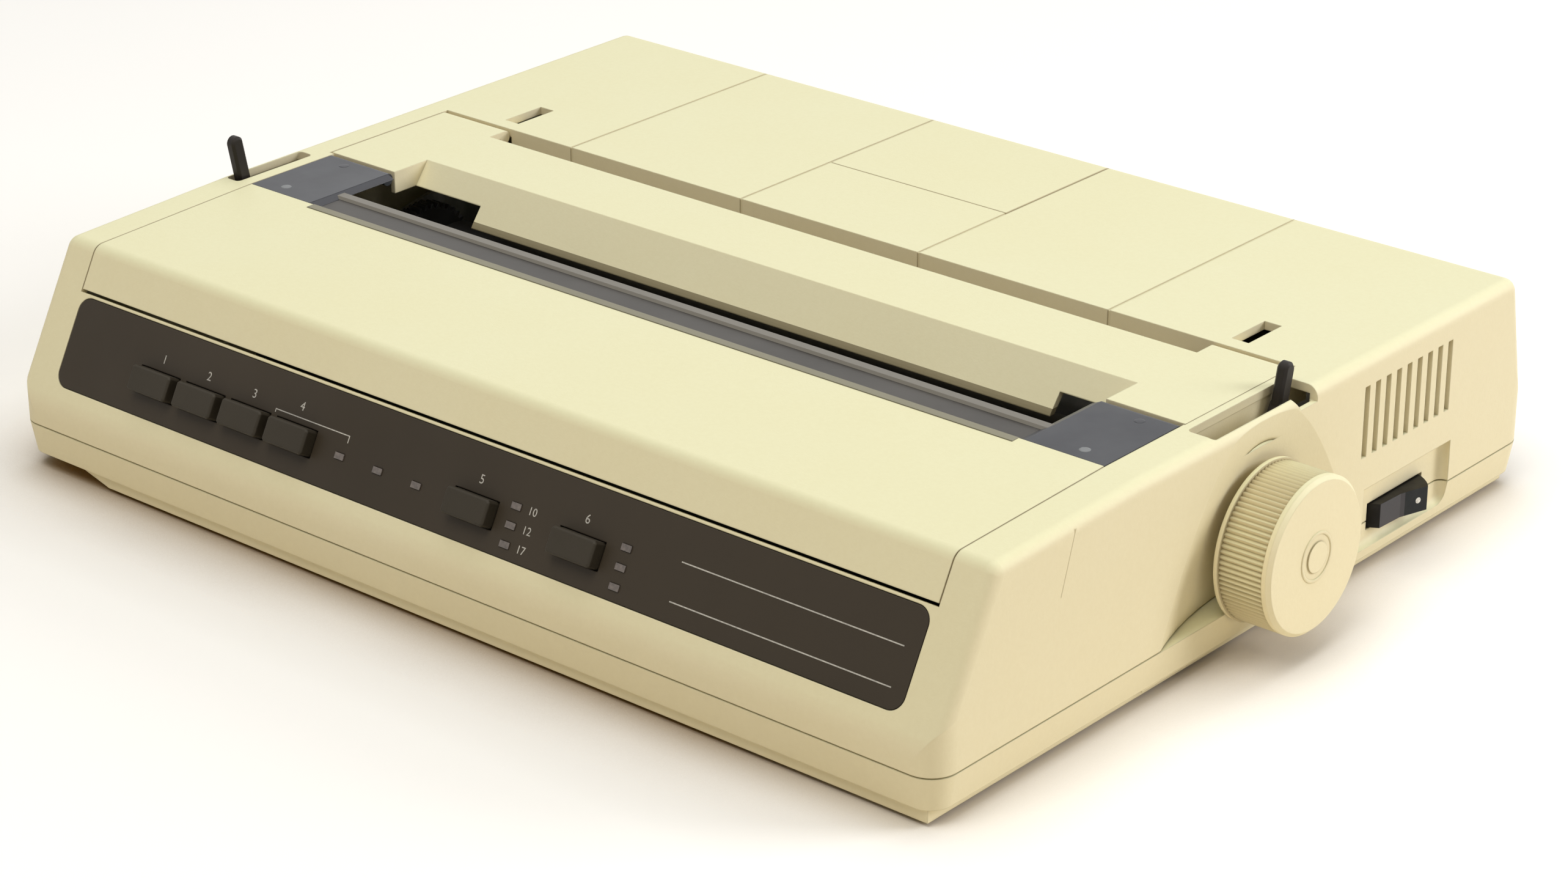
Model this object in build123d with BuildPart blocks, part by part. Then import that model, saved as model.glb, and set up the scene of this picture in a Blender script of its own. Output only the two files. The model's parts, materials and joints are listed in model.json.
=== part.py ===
from build123d import *
import math
import os

os.makedirs("parts", exist_ok=True)

# Compact serial dot matrix printer, in millimetres.
# Row frame: origin on the table under the middle of the whole machine, X to the right
# (the platen knob side), Y to the back, Z up.
# Every size below is counted from the case: x from its middle, y from its front, z from the table.

# --- Case -----------------------------------------------------------------------------------
case_width = 342.4
case_depth = 274.2
knob_reach = 17.8  # the knob stands out this far past the right flank
wall = 2.5
seam_z = 14.5  # top edge of the base pan
seam_gap = 0.4
lip_z = 22.0  # the upright front lip ends here and the slope begins
crease_y = 23.0  # where the slope meets the top
crease_z = 65.0
cover_end_y = 83.7  # the opaque cover ends and the smoked window begins
top_z = 66.8
rear_top_y = 263.8
flank_round = 3.5
lip_blend = 14.0
crease_blend = 4.0
corner_round = 8.0
fit = 0.4  # visible gap round covers, hatch and separator

half = case_width / 2
upper_z = seam_z + seam_gap
case_x = -knob_reach / 2
front_y = -case_depth / 2
slope = math.degrees(math.atan2(crease_y, crease_z - lip_z))  # lean of the front from upright

# --- Base pan -------------------------------------------------------------------------------
base_edge_z = 5.0
base_draft = 1.6
keel_z = 1.2
keel_front_y = 3.0
keel_rear_y = 270.0
keel_left_low = -136.0
keel_left_high = -150.0
keel_right = 166.5
floor_z = keel_z + wall
shelf_z = base_edge_z + wall
bay_left = -131.0  # level part of the floor, inside the keel
bay_right = keel_right - wall
foot_size = 13.0
foot_recess = 1.2
foot_x = 122.0
foot_front_y = 26.0
foot_rear_y = 246.0
screw_x = half - 17.2
screw_y = case_depth - 22.2
screw_radius = 1.5
screw_head_radius = 3.1
boss_size = 9.0
boss_z = 24.0
screw_seat_z = 8.5
screw_top_z = 40.0
hook_x = half - 20.0
floor_vent_xs = (-48.0, -36.0, -24.0, -12.0, 0.0, 12.0, 24.0, 36.0, 48.0)

# --- Front panel ----------------------------------------------------------------------------
panel_half = 157.3
panel_low = 6.7  # distances up the slope from the lip
panel_high = 33.9
panel_thickness = 1.2
panel_border = 3.0
panel_round = 4.5
button_width = 15.8
button_height = 7.4
button_rise = 4.0
button_up = 17.2
button_travel = 2.0
button_gap = 0.3
button_pitch = 18.7
first_button_x = -117.5
pitch_button_x = 8.1
mode_button_x = 46.4
lamp_width = 3.4
lamp_height = 1.8
status_lamp_x = -42.9
status_lamp_pitch = 14.75
status_lamp_up = 16.8
column_lamp_up = 15.9
column_lamp_pitch = 5.3
pitch_lamp_x = 22.2
mode_lamp_x = 61.4
board_depth = 9.0
board_thickness = 1.6
switch_rise = 1.2
lamp_rise = 0.3
panel_gap = 0.25
panel_post_xs = (-150.0, -24.0, 86.0, 150.0)

# --- Cover, window and separator ------------------------------------------------------------
cover_half = 158.0
window_end_y = 118.1
window_inner_x = 133.0
strip_rear_y = 98.0
strip_drop = 1.2
sheet = 2.5  # thickness of the cover and window mouldings
cover_ledge = 0.8  # pale ledge between the panel and the cover
cover_foot_gap = 0.9
cover_foot = panel_high + cover_ledge + cover_foot_gap  # lower edge of the cover, up the slope
cover_bead = 1.9
cover_pivot_y = window_end_y - cover_bead
cover_pivot_z = top_z - cover_bead
separator_left = -160.0
separator_right = 158.3
separator_front_y = 118.9
separator_rear_y = 169.0
separator_bead = 2.1
separator_top_z = top_z - 0.1
separator_pivot_y = separator_rear_y - separator_bead
separator_pivot_z = separator_top_z - separator_bead
separator_skin = 2.2
end_block_z = 59.8
bevel_top_y = 133.0
bevel_low_y = 124.0
bevel_low_z = 55.0
lip_low_z = 54.0
slot_front_y = 160.2
deck_y = separator_rear_y + 0.3
left_notch = 27.5
right_notch = 21.5
stub_radius = 1.1
stub_length = 2.2
rib_thickness = 2.3
rib_z = 57.0
running = 0.05  # radial clearance of shafts in bores
cover_rib_xs = (-105.0, -52.5, 0.0, 52.5, 105.0)
separator_rib_xs = (-90.0, -45.0, 0.0, 45.0, 90.0)

# --- Deck and flanks ------------------------------------------------------------------------
groove_xs = (-107.0, -38.0, 29.5, 97.0)
groove_width = 0.8
groove_depth = 0.35
hatch_front_y = 210.6
hatch_low_z = 48.0
tee_x = 137.3
tee_width = 5.6
tee_front_y = 174.5
tee_length = 16.0
tee_ramp = 8.0
vent_count = 9
vent_pitch = 5.26
vent_width = 2.4
vent_first_y = 186.5
vent_low_z = 37.6
vent_high_z = 58.8
well_front_y = 187.8
well_rear_y = 232.3
well_low_z = 7.8
well_high_z = 27.4
well_depth = 3.0
well_back_x = half - well_depth
well_wall = 2.0
well_round = 2.6  # the back wall turns out to the flank at its rear end
well_corner = 3.6  # lower rear corner of its outline

# --- Platen and paper path ------------------------------------------------------------------
platen_y = 137.8
platen_z = 31.0
platen_radius = 15.0
platen_half = 128.0
sleeve_thickness = 3.0
shaft_radius = 4.0
knob_radius = 22.2
rib_depth = 0.8
knob_flange_radius = 22.7
knob_gap = 0.4
rib_count = 90
scoop_radius = 130.0
scoop_depth = 8.1
scoop_tilt = 8.5
frame_x = 145.0
frame_thickness = 1.5
frame_low_z = shelf_z
bush_radius = 6.5
core_radius = platen_radius - sleeve_thickness
frame_front_y = 74.0
frame_rear_y = 200.0
frame_top = [
    (96.0, 34.0),
    (118.0, 44.0),
    (158.0, 52.0),
    (160.0, 60.0),
    (168.5, 60.0),
    (171.0, 50.0),
    (frame_rear_y, 48.0),
]
chute_gap = 1.3
chute_thickness = 1.2
chute_half = 127.0
chute_start = 215.0  # angles round the platen where the chute begins and turns straight
chute_end = -20.0
chute_tab_low_z = 50.0
chute_top_z = 58.0
chute_top_y = 165.6
press_radius = 3.8
press_gap = 0.35
press_width = 60.0
press_xs = (-55.0, 55.0)
press_shaft_radius = 1.2
press_rod_half = 89.0
press_rod_radius = 2.0
press_fork_radius = 1.4
press_finger = (143.0, 15.5)
press_pivot_y = 152.0
press_pivot_z = 11.0

# --- Gear train -----------------------------------------------------------------------------
gear_module = 0.8
gear_width = 5.0
gear_land = 0.24
root_share = 0.33
gear_outer_x = -143.5
platen_teeth = 44
idler_teeth = 30
pinion_teeth = 12
idler_angle = -15.0
pinion_angle = 20.0
mesh_slack = 0.12
stud_radius = 2.0
motor_radius = 17.5
motor_shaft_radius = 1.5
motor_length = 19.0

# --- Carriage -------------------------------------------------------------------------------
guide_y = 103.0
guide_z = 15.0
guide_radius = 4.0
rail_y = 87.0
rail_thickness = 2.0
rail_top_z = 14.0
rail_half = 130.0
carriage_half = 20.0
carriage_home_x = -98.0
carriage_front_y = 80.5
carriage_rear_y = 112.0
carriage_low_z = 9.0
carriage_top_z = 24.0
slide_gap = 0.4
head_half = 15.0
head_front_y = 92.0
head_fins = 5
head_pitch = 4.2
head_top_z = 44.0
head_gap = 0.9
cartridge_half = 38.0
cartridge_front_y = 72.0
cartridge_rear_y = 103.0
cartridge_low_z = 46.0
cartridge_high_z = 56.0
belt_y = 62.0
belt_low_z = 29.0
belt_width = 6.0
belt_thickness = 1.2
pulley_radius = 8.0
pulley_teeth = 20
drive_x = 126.0
tension_x = -122.0
carriage_motor_top_z = 27.0

# --- Levers ---------------------------------------------------------------------------------
lever_thickness = 3.4
lever_width = 4.4
grip_ease = 0.7
bail_lever_x = -165.3
bail_slot_front_y = 82.5
bail_slot_rear_y = 113.0
bail_slot_width = 5.4
bail_pivot_y = 106.0
bail_pivot_z = 24.0
bail_stub_radius = 3.0
bail_rod_radius = 2.0
bail_roller_radius = 4.5
bail_roller_gap = 0.3
bail_angle = 50.0  # the rollers press on the platen this far above the level of its axis
bail_swing = 31.5
bail_arm_x = 134.0
bail_roller_xs = (-60.0, 60.0)
bail_roller_width = 12.0
bail_handle_low = (87.5, 62.0)
bail_handle_top = (84.4, 77.9)
release_lever_x = 164.0
release_slot_front_y = 115.4
release_slot_rear_y = 161.5
release_slot_left = 161.2
release_slot_right = 169.6
notch_left = 163.2  # thumb notch at the slot's rear end, open through the flank
notch_front_y = 149.5
notch_z = 62.6
release_hub_x = 147.0
release_hub_width = 4.5
release_angle = 61.0
release_jog = 22.0  # the crank to the handle runs this far from the platen axis
release_bend = (154.0, 61.6)
release_tip = (156.3, 71.7)

# --- Power side -----------------------------------------------------------------------------
rocker_y = 208.8
rocker_pivot_x = well_back_x - 5.2
rocker_low_z = 12.4
rocker_high_z = 19.6
rocker_radius = 13.7  # its ends follow this circle round the pivot
rocker_depth = 8.5
rocker_tilt = 10.2
rocker_corner = 44.5  # angles of the outer and the inner corners round the pivot
rocker_heel = 100.0
inlet_x = 124.0
inlet_z = 28.5
inlet_width = 27.0
inlet_height = 20.0
inlet_rear_y = 270.0
inlet_depth = 17.0
port_x = -45.0
port_width = 60.0
port_low_z = 16.8
port_high_z = 27.0
port_rear_y = 270.5
main_board_z = 9.6
board_x = (-125.0, 55.0)
board_y = (206.0, 262.0)
chips = (
    (-115.0, 214.0, 52.0, 14.0),
    (-50.0, 214.0, 36.0, 14.0),
    (-115.0, 236.0, 18.0, 8.0),
    (-90.0, 236.0, 18.0, 8.0),
    (0.0, 222.0, 20.0, 8.0),
)
capacitors = ((40.0, 222.0, 8.0, 26.0),)


# --- Planes and outlines ----------------------------------------------------------------------
def level(z):
    """Level plane at height z, facing up."""
    return Plane(origin=(case_x, front_y, z))


def side(x, centre=(0, 0)):
    """Upright plane at x, facing right: first axis to the back, second axis up."""
    origin = (case_x + x, front_y + centre[0], centre[1])
    return Plane(origin=origin, x_dir=(0, 1, 0), z_dir=(1, 0, 0))


def cross(y):
    """Upright plane at y, facing the front: first axis to the right, second axis up."""
    return Plane(origin=(case_x, front_y + y, 0), x_dir=(1, 0, 0), z_dir=(0, -1, 0))


def face(depth):
    """Plane of the front slope, set in by depth: first axis right, second axis up the slope."""
    y, z = on_face(0, depth)
    lean = math.radians(slope)
    normal = (0, -math.cos(lean), math.sin(lean))
    return Plane(origin=(case_x, front_y + y, z), x_dir=(1, 0, 0), z_dir=normal)


def on_face(up, depth):
    """The (y, z) of a point up the front slope and set in by depth."""
    lean = math.radians(slope)
    y = up * math.sin(lean) + depth * math.cos(lean)
    return (y, lip_z + up * math.cos(lean) - depth * math.sin(lean))


def polar(centre, radius, angle):
    """The point at an angle in degrees round a centre."""
    turn = math.radians(angle)
    return (centre[0] + radius * math.cos(turn), centre[1] + radius * math.sin(turn))


def turned(point, centre, angle):
    """A point turned by an angle in degrees round a centre."""
    reach = math.dist(point, centre)
    start = math.degrees(math.atan2(point[1] - centre[1], point[0] - centre[0]))
    return polar(centre, reach, start + angle)


def finish(piece, name):
    """Label one finished piece and write its file."""
    piece.part.label = name
    export_step(piece.part, f"parts/{name}.step")


def block(x, y, z, mode=Mode.ADD, corner=0.0):
    """An upright block between pairs of bounds, its upright corners rounded if asked."""
    width, depth = x[1] - x[0], y[1] - y[0]
    with BuildSketch(level(z[0])) as outline:
        with Locations(((x[0] + x[1]) / 2, (y[0] + y[1]) / 2)):
            if corner:
                RectangleRounded(width, depth, corner)
            else:
                Rectangle(width, depth)
    extrude(outline.sketch, amount=z[1] - z[0], mode=mode)


def rod(x, centre, radius, mode=Mode.ADD):
    """A round bar along X between two x bounds, about a (y, z) centre."""
    with BuildSketch(side(x[0], centre)) as outline:
        Circle(radius)
    extrude(outline.sketch, amount=x[1] - x[0], mode=mode)


def post(centre, radius, z, mode=Mode.ADD):
    """A round upright bar between two heights."""
    with BuildSketch(level(z[0])) as outline:
        with Locations(centre):
            Circle(radius)
    extrude(outline.sketch, amount=z[1] - z[0], mode=mode)


def plate(x, points, mode=Mode.ADD, corner=0.0):
    """A plate with a (y, z) outline between two x bounds, its corners rounded if asked."""
    with BuildSketch(side(x[0])) as outline:
        with BuildLine():
            Polyline(*points, close=True)
        make_face()
        if corner:
            fillet(outline.vertices(), corner)
    extrude(outline.sketch, amount=x[1] - x[0], mode=mode)


def bar(x, start, end, radius, mode=Mode.ADD):
    """A flat bar with round ends between two (y, z) centres and two x bounds."""
    middle = ((start[0] + end[0]) / 2, (start[1] + end[1]) / 2)
    lean = math.degrees(math.atan2(end[1] - start[1], end[0] - start[0]))
    with BuildSketch(side(x[0], middle)) as outline:
        SlotCenterToCenter(math.dist(start, end), 2 * radius, rotation=lean)
    extrude(outline.sketch, amount=x[1] - x[0], mode=mode)


def fork(x, start, end, reach):
    """A square-ended flat bar that runs a little past both (y, z) centres."""
    middle = ((start[0] + end[0]) / 2, (start[1] + end[1]) / 2)
    lean = math.degrees(math.atan2(end[1] - start[1], end[0] - start[0]))
    with BuildSketch(side(x[0], middle)) as outline:
        Rectangle(math.dist(start, end) + 2 * reach, 2 * reach, rotation=lean)
    extrude(outline.sketch, amount=x[1] - x[0])


def grip(lever, x, start, end):
    """A lever's grip: a round-ended bar with all its outline edges eased."""
    bar(x, start, end, lever_width / 2)
    chamfer(lever.edges().filter_by(lambda edge: abs((edge @ 1 - edge @ 0).X) < 1), grip_ease)


def flat(plane, width, height, radius, depth, mode=Mode.ADD, at=(0, 0)):
    """A rectangle on a plane, rounded if asked, carried in by depth."""
    with BuildSketch(plane) as outline:
        with Locations(at):
            if radius:
                RectangleRounded(width, height, radius)
            else:
                Rectangle(width, height)
    extrude(outline.sketch, amount=-depth, mode=mode)


def boss(place, z, size=None, mode=Mode.ADD):
    """A square screw boss round an upright axis."""
    reach = (size or boss_size) / 2
    block((place[0] - reach, place[0] + reach), (place[1] - reach, place[1] + reach), z, mode)


def case_profile(inset=0.0):
    """Side outline of the upper case, drawn past its lower edge."""
    foot_z = upper_z - 2 * wall
    with BuildSketch() as profile:
        with BuildLine():
            Polyline(
                (0, foot_z),
                (0, lip_z),
                (crease_y, crease_z),
                (cover_end_y, top_z),
                (rear_top_y, top_z),
                (case_depth, upper_z),
                (case_depth, foot_z),
                close=True,
            )
        make_face()
        for corner, radius in (
            ((0, lip_z, 0), lip_blend),
            ((crease_y, crease_z, 0), crease_blend),
            ((rear_top_y, top_z, 0), crease_blend),
        ):
            fillet(profile.vertices().sort_by_distance(corner)[0], radius=radius)
        if inset:
            offset(amount=-inset)
    return profile.sketch


def cased(x, inset=0.0, mode=Mode.ADD):
    """The case's side outline, set in by a wall, carried between two x bounds."""
    with BuildSketch(side(x[0])) as outline:
        add(case_profile(inset))
    extrude(outline.sketch, amount=x[1] - x[0], mode=mode)


def plan(inset, z, mode=Mode.ADD):
    """The case's rounded plan outline, set in by a wall, between two heights."""
    x = (inset - half, half - inset)
    block(x, (inset, case_depth - inset), z, mode, corner_round - inset)


def toothed(plane, teeth, profile, width, phase=0.0):
    """A ring of teeth across a plane; the profile gives radius and place in the pitch."""
    pitch = 360 / teeth
    with BuildSketch(plane) as outline:
        with BuildLine():
            Polyline(
                *[
                    polar((0, 0), radius, phase + (tooth + shift) * pitch)
                    for tooth in range(teeth)
                    for radius, shift in profile
                ],
                close=True,
            )
        make_face()
    extrude(outline.sketch, amount=width)


def gear(centre, teeth, phase):
    """A spur gear of the feed train about a (y, z) centre."""
    pitch_radius = gear_module * teeth / 2
    root = pitch_radius - 1.1 * gear_module
    tip = pitch_radius + 0.85 * gear_module
    profile = (
        (root, -root_share),
        (tip, -gear_land / 2),
        (tip, gear_land / 2),
        (root, root_share),
    )
    toothed(side(gear_outer_x, centre), teeth, profile, gear_width, phase)


# --- Hollows shared by the upper case and the base pan ------------------------------------------
scoop_lean = math.radians(scoop_tilt)
scoop_x = case_x + half - scoop_depth + scoop_radius / math.cos(scoop_lean)
scoop_plane = Plane(
    origin=(scoop_x, front_y + platen_y, seam_z),
    x_dir=(0, 1, 0),
    z_dir=(math.sin(scoop_lean), 0, math.cos(scoop_lean)),
)

# Concave hollow in the right flank that gives fingers room round the knob.
with BuildPart() as scoop:
    with BuildSketch(scoop_plane):
        Circle(scoop_radius)
    extrude(amount=crease_z, both=True)
with BuildPart() as scoop_backing:
    with BuildSketch(scoop_plane):
        Circle(scoop_radius + wall)
    extrude(amount=crease_z, both=True)


# Switch well: shallow, with a round turn out to the flank at its rear end.
with BuildPart() as well:
    well_depth_out = well_depth + 2 * wall
    with BuildSketch(side(well_back_x)):
        with Locations(((well_front_y + well_rear_y) / 2, (well_low_z + well_high_z) / 2)):
            Rectangle(well_rear_y - well_front_y, well_high_z - well_low_z)
    extrude(amount=well_depth_out)
    lower_rear = well.edges().filter_by(Axis.X).sort_by(Axis.Y)[-2:].sort_by(Axis.Z)[0]
    fillet(lower_rear, well_corner)
    back = well.faces().sort_by(Axis.X)[0]
    fillet(back.edges().filter_by(Axis.Z).sort_by(Axis.Y)[-1], well_round)
with BuildPart() as well_backing:
    block(
        (well_back_x - well_wall, half + wall),
        (well_front_y - well_wall, well_rear_y + well_wall),
        (well_low_z - well_wall, well_high_z + well_wall),
    )

well_window_y = (rocker_y - rocker_radius - 0.3, rocker_y + rocker_radius + 0.3)
well_window_z = (rocker_low_z - 0.4, rocker_high_z + 0.4)
# Each screw: its x and the foot of the boss round it.
screw_places = [(-screw_x, base_edge_z), (screw_x, floor_z - 1)]
foot_places = [(x, y) for x in (-foot_x, foot_x) for y in (foot_front_y, foot_rear_y)]
hatch_left, hatch_right = groove_xs[1], groove_xs[2]
mouth_half = cover_half + fit
mouth_end_y = (window_end_y + separator_front_y) / 2
cover_pivot = (cover_pivot_y, cover_pivot_z)
separator_pivot = (separator_pivot_y, separator_pivot_z)
platen_axis = (platen_y, platen_z)

# --- Upper case --------------------------------------------------------------------------------
with BuildPart() as upper_cavity:
    cased((wall - half, half - wall), wall)
    plan(wall, (0, top_z), Mode.INTERSECT)
    add(scoop_backing.part, mode=Mode.SUBTRACT)
    add(well_backing.part, mode=Mode.SUBTRACT)

with BuildPart() as upper_case:
    cased((-half, half))
    split(bisect_by=level(upper_z), keep=Keep.TOP)
    flanks = upper_case.faces().filter_by(Axis.X).edges()
    fillet(flanks.filter_by(lambda edge: edge.center().Z > upper_z + 1), flank_round)
    plan(0, (upper_z, top_z + 1), Mode.INTERSECT)
    add(scoop.part, mode=Mode.SUBTRACT)
    add(upper_cavity.part, mode=Mode.SUBTRACT)
    add(well.part, mode=Mode.SUBTRACT)
    # Seat of the control panel: a shallow recess with a window through it.
    panel_middle = (panel_low + panel_high) / 2
    panel_height = panel_high - panel_low
    panel_window = panel_height - 2 * panel_border
    seat = (0, panel_middle)
    flat(face(0), 2 * panel_half, panel_height, panel_round, panel_thickness, Mode.SUBTRACT, seat)
    window_width = 2 * (panel_half - panel_border)
    flat(face(0), window_width, panel_window, 0, 2 * wall, Mode.SUBTRACT, seat)
    # Mouth for the cover and its window.
    plate(
        (-mouth_half, mouth_half),
        [
            on_face(cover_foot - cover_foot_gap, 4 * wall),
            on_face(cover_foot - cover_foot_gap, -4 * wall),
            (0, top_z + 4 * wall),
            (mouth_end_y, top_z + 4 * wall),
            (mouth_end_y, rib_z),
        ],
        Mode.SUBTRACT,
    )
    # Mouth for the separator and the sheet slot behind it.
    separator_mouth = (separator_left - fit, separator_right + fit)
    block(separator_mouth, (mouth_end_y - fit, deck_y), (rib_z, top_z + 1), Mode.SUBTRACT)
    # Lever slots.
    bail_slot = (bail_lever_x - bail_slot_width / 2, bail_lever_x + bail_slot_width / 2)
    slot_z = (rib_z, top_z + 1)
    block(bail_slot, (bail_slot_front_y, bail_slot_rear_y), slot_z, Mode.SUBTRACT, 1.5)
    release_slot = (release_slot_left, release_slot_right)
    block(release_slot, (release_slot_front_y, release_slot_rear_y), slot_z, Mode.SUBTRACT, 1.5)
    plate(
        (notch_left, half + 1),
        [
            (notch_front_y, top_z + 1),
            (notch_front_y + top_z - notch_z, notch_z),
            (release_slot_rear_y, notch_z),
            (release_slot_rear_y, top_z + 1),
        ],
        Mode.SUBTRACT,
    )
    # Hinge ribs along the mouths, with the bores of the cover and separator pivots.
    for x in (-mouth_half - rib_thickness, mouth_half):
        block((x, x + rib_thickness), (window_end_y - 14, mouth_end_y), (rib_z, top_z - 1))
    for x in (separator_mouth[0] - rib_thickness, separator_mouth[1]):
        block((x, x + rib_thickness), (mouth_end_y, deck_y + wall), (rib_z, top_z - 1))
    for pivot in (cover_pivot, separator_pivot):
        rod((-half + 4, half - 4), pivot, stub_radius + running, Mode.SUBTRACT)
    # Rear wall of the sheet slot and the guide grooves that run down it and over the deck.
    slot_half = window_inner_x - fit
    block((-slot_half, slot_half), (deck_y, deck_y + wall), (rib_z, top_z - 1))
    for x in groove_xs:
        groove = (x - groove_width / 2, x + groove_width / 2)
        block(groove, (deck_y, rear_top_y), (top_z - groove_depth, top_z + 1), Mode.SUBTRACT)
        block(groove, (deck_y, deck_y + groove_depth), (rib_z, top_z), Mode.SUBTRACT)
    # Keyed slots that take an accessory's hooks.
    for x in (-tee_x, tee_x):
        tee = (x - tee_width / 2, x + tee_width / 2)
        tee_end_y = tee_front_y + tee_length
        block(tee, (tee_front_y, tee_end_y), (top_z - 2 * wall, top_z + 1), Mode.SUBTRACT)
        plate(
            tee,
            [
                (tee_front_y - 1, top_z - 0.8 * wall),
                (tee_front_y - 1, top_z - 2 * wall),
                (tee_front_y + tee_ramp, top_z - 2 * wall),
                (tee_front_y + tee_ramp, top_z - 1.6 * wall),
                (tee_front_y, top_z - 0.6 * wall),
            ],
        )
    # Opening under the hatch, through the deck and the top of the rear wall.
    hatch_hole = (hatch_left, hatch_right)
    hatch_z = (hatch_low_z, top_z + 1)
    block(hatch_hole, (hatch_front_y, case_depth + 1), hatch_z, Mode.SUBTRACT)
    # Cooling slots in the right flank.
    for slot in range(vent_count):
        y = vent_first_y + slot * vent_pitch - vent_width / 2
        vent_z = (vent_low_z, vent_high_z)
        block((half - 2 * wall, half + 1), (y, y + vent_width), vent_z, Mode.SUBTRACT)
    # Hole for the platen shaft, and the window of the switch in the back of its well.
    rod((half - 8 * wall, half), platen_axis, shaft_radius + 1.5, Mode.SUBTRACT)
    window_x = (well_back_x - 2 * wall, half)
    block(window_x, well_window_y, (upper_z, well_window_z[1]), Mode.SUBTRACT)
    # Rear cut-outs of the mains inlet and the interface port.
    for x, width, z in (
        (inlet_x, inlet_width, (inlet_z - inlet_height / 2, inlet_z + inlet_height / 2)),
        (port_x, port_width, (port_low_z, port_high_z)),
    ):
        hole_x = (x - width / 2 - fit, x + width / 2 + fit)
        hole_z = (z[0] - fit, z[1] + fit)
        block(hole_x, (case_depth - 6 * wall, case_depth + 1), hole_z, Mode.SUBTRACT)
    # Screw bosses at the rear, down to the bosses of the base, and hooks over its front edge.
    for x, _ in screw_places:
        boss((x, screw_y), (boss_z, top_z - 0.6 * wall))
        post((x, screw_y), screw_radius, (boss_z, screw_top_z), Mode.SUBTRACT)
    hook_y = base_draft + wall + fit
    for x in (-hook_x, hook_x):
        block((x - 4, x + 4), (wall - 0.5, hook_y + wall), (upper_z, upper_z + wall))
        block((x - 4, x + 4), (hook_y, hook_y + wall), (shelf_z + 2, upper_z))
    # Posts that carry the panel board.
    for x in panel_post_xs:
        for up in (panel_low - 2.5, panel_high - 2.0):
            flat(face(wall - 0.5), 4.0, 4.0, 0, board_depth - wall + 0.5, at=(x, up))
finish(upper_case, "upper_case")

# --- Rear hatch --------------------------------------------------------------------------------
with BuildPart() as rear_hatch:
    hatch_span = (hatch_left + fit, hatch_right - fit)
    cased(hatch_span)
    cased(hatch_span, wall, Mode.SUBTRACT)
    hatch_y = (hatch_front_y + fit, case_depth)
    block(hatch_span, hatch_y, (hatch_low_z + fit, top_z + 1), Mode.INTERSECT)
    # Snap tongues that reach under the deck.
    for x in (hatch_left + 14, hatch_right - 14):
        tongue_z = (top_z - wall - 1.5, top_z - wall)
        block((x - 4, x + 4), (hatch_front_y - 4, hatch_front_y + 8), tongue_z)
finish(rear_hatch, "rear_hatch")

# --- Base pan ----------------------------------------------------------------------------------
with BuildPart() as base_shell:
    with BuildSketch(level(base_edge_z)):
        with Locations((0, case_depth / 2)):
            RectangleRounded(
                case_width - 2 * base_draft, case_depth - 2 * base_draft, corner_round - base_draft
            )
    with BuildSketch(level(seam_z)):
        with Locations((0, case_depth / 2)):
            RectangleRounded(case_width, case_depth, corner_round)
    loft()
with BuildPart() as well_lining:
    add(well_backing.part)
    add(base_shell.part, mode=Mode.INTERSECT)

with BuildPart() as base_pan:
    add(base_shell.part)
    # Keel under the tray, sloped at its left end.
    keel_span = (keel_rear_y - keel_front_y) / 2
    with BuildSketch(cross((keel_front_y + keel_rear_y) / 2)):
        with BuildLine():
            Polyline(
                (keel_left_high, base_edge_z),
                (keel_left_low, keel_z),
                (keel_right, keel_z),
                (keel_right, shelf_z),
                (keel_left_high, shelf_z),
                close=True,
            )
        make_face()
    extrude(amount=keel_span, both=True)
    # Hollow of the tray and the deeper bay in the keel.
    inset = base_draft + wall
    plan(inset, (shelf_z, seam_z + 1), Mode.SUBTRACT)
    bay_y = (keel_front_y + wall, keel_rear_y - wall)
    block((bay_left, bay_right), bay_y, (floor_z, shelf_z), Mode.SUBTRACT)
    # Sill that closes the tray under the knob hollow.
    sill = math.sqrt(2 * scoop_radius * scoop_depth) + 2
    sill_x = (half - inset - 8, half - inset + 1)
    block(sill_x, (platen_y - sill, platen_y + sill), (floor_z - 0.5, seam_z))
    add(well_lining.part)
    add(well.part, mode=Mode.SUBTRACT)
    block(window_x, well_window_y, (well_window_z[0], well_window_z[1]), Mode.SUBTRACT)
    # Screw bosses with recesses for the heads, and the recesses of the feet.
    for x, low in screw_places:
        boss((x, screw_y), (low, boss_z))
        post((x, screw_y), screw_head_radius + 0.3, (keel_z, screw_seat_z), Mode.SUBTRACT)
        post((x, screw_y), screw_radius + 0.2, (keel_z, boss_z), Mode.SUBTRACT)
    for place in foot_places:
        boss(place, (keel_z, keel_z + foot_recess), foot_size, Mode.SUBTRACT)
    # Cooling slots through the floor.
    for x in floor_vent_xs:
        for y in (60, 215):
            block((x - 1.5, x + 1.5), (y - 15, y + 15), (keel_z, floor_z), Mode.SUBTRACT)
finish(base_pan, "base_pan")

with BuildPart() as rubber_feet:
    for place in foot_places:
        boss(place, (0, keel_z + foot_recess), foot_size - 0.6)
    chamfer(rubber_feet.edges().group_by(Axis.Z)[0], 0.8)
finish(rubber_feet, "rubber_feet")

with BuildPart() as case_screws:
    for x, _ in screw_places:
        post((x, screw_y), screw_head_radius, (screw_seat_z - 2.2, screw_seat_z))
        post((x, screw_y), screw_radius, (screw_seat_z, screw_top_z - 1))
finish(case_screws, "case_screws")

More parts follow.
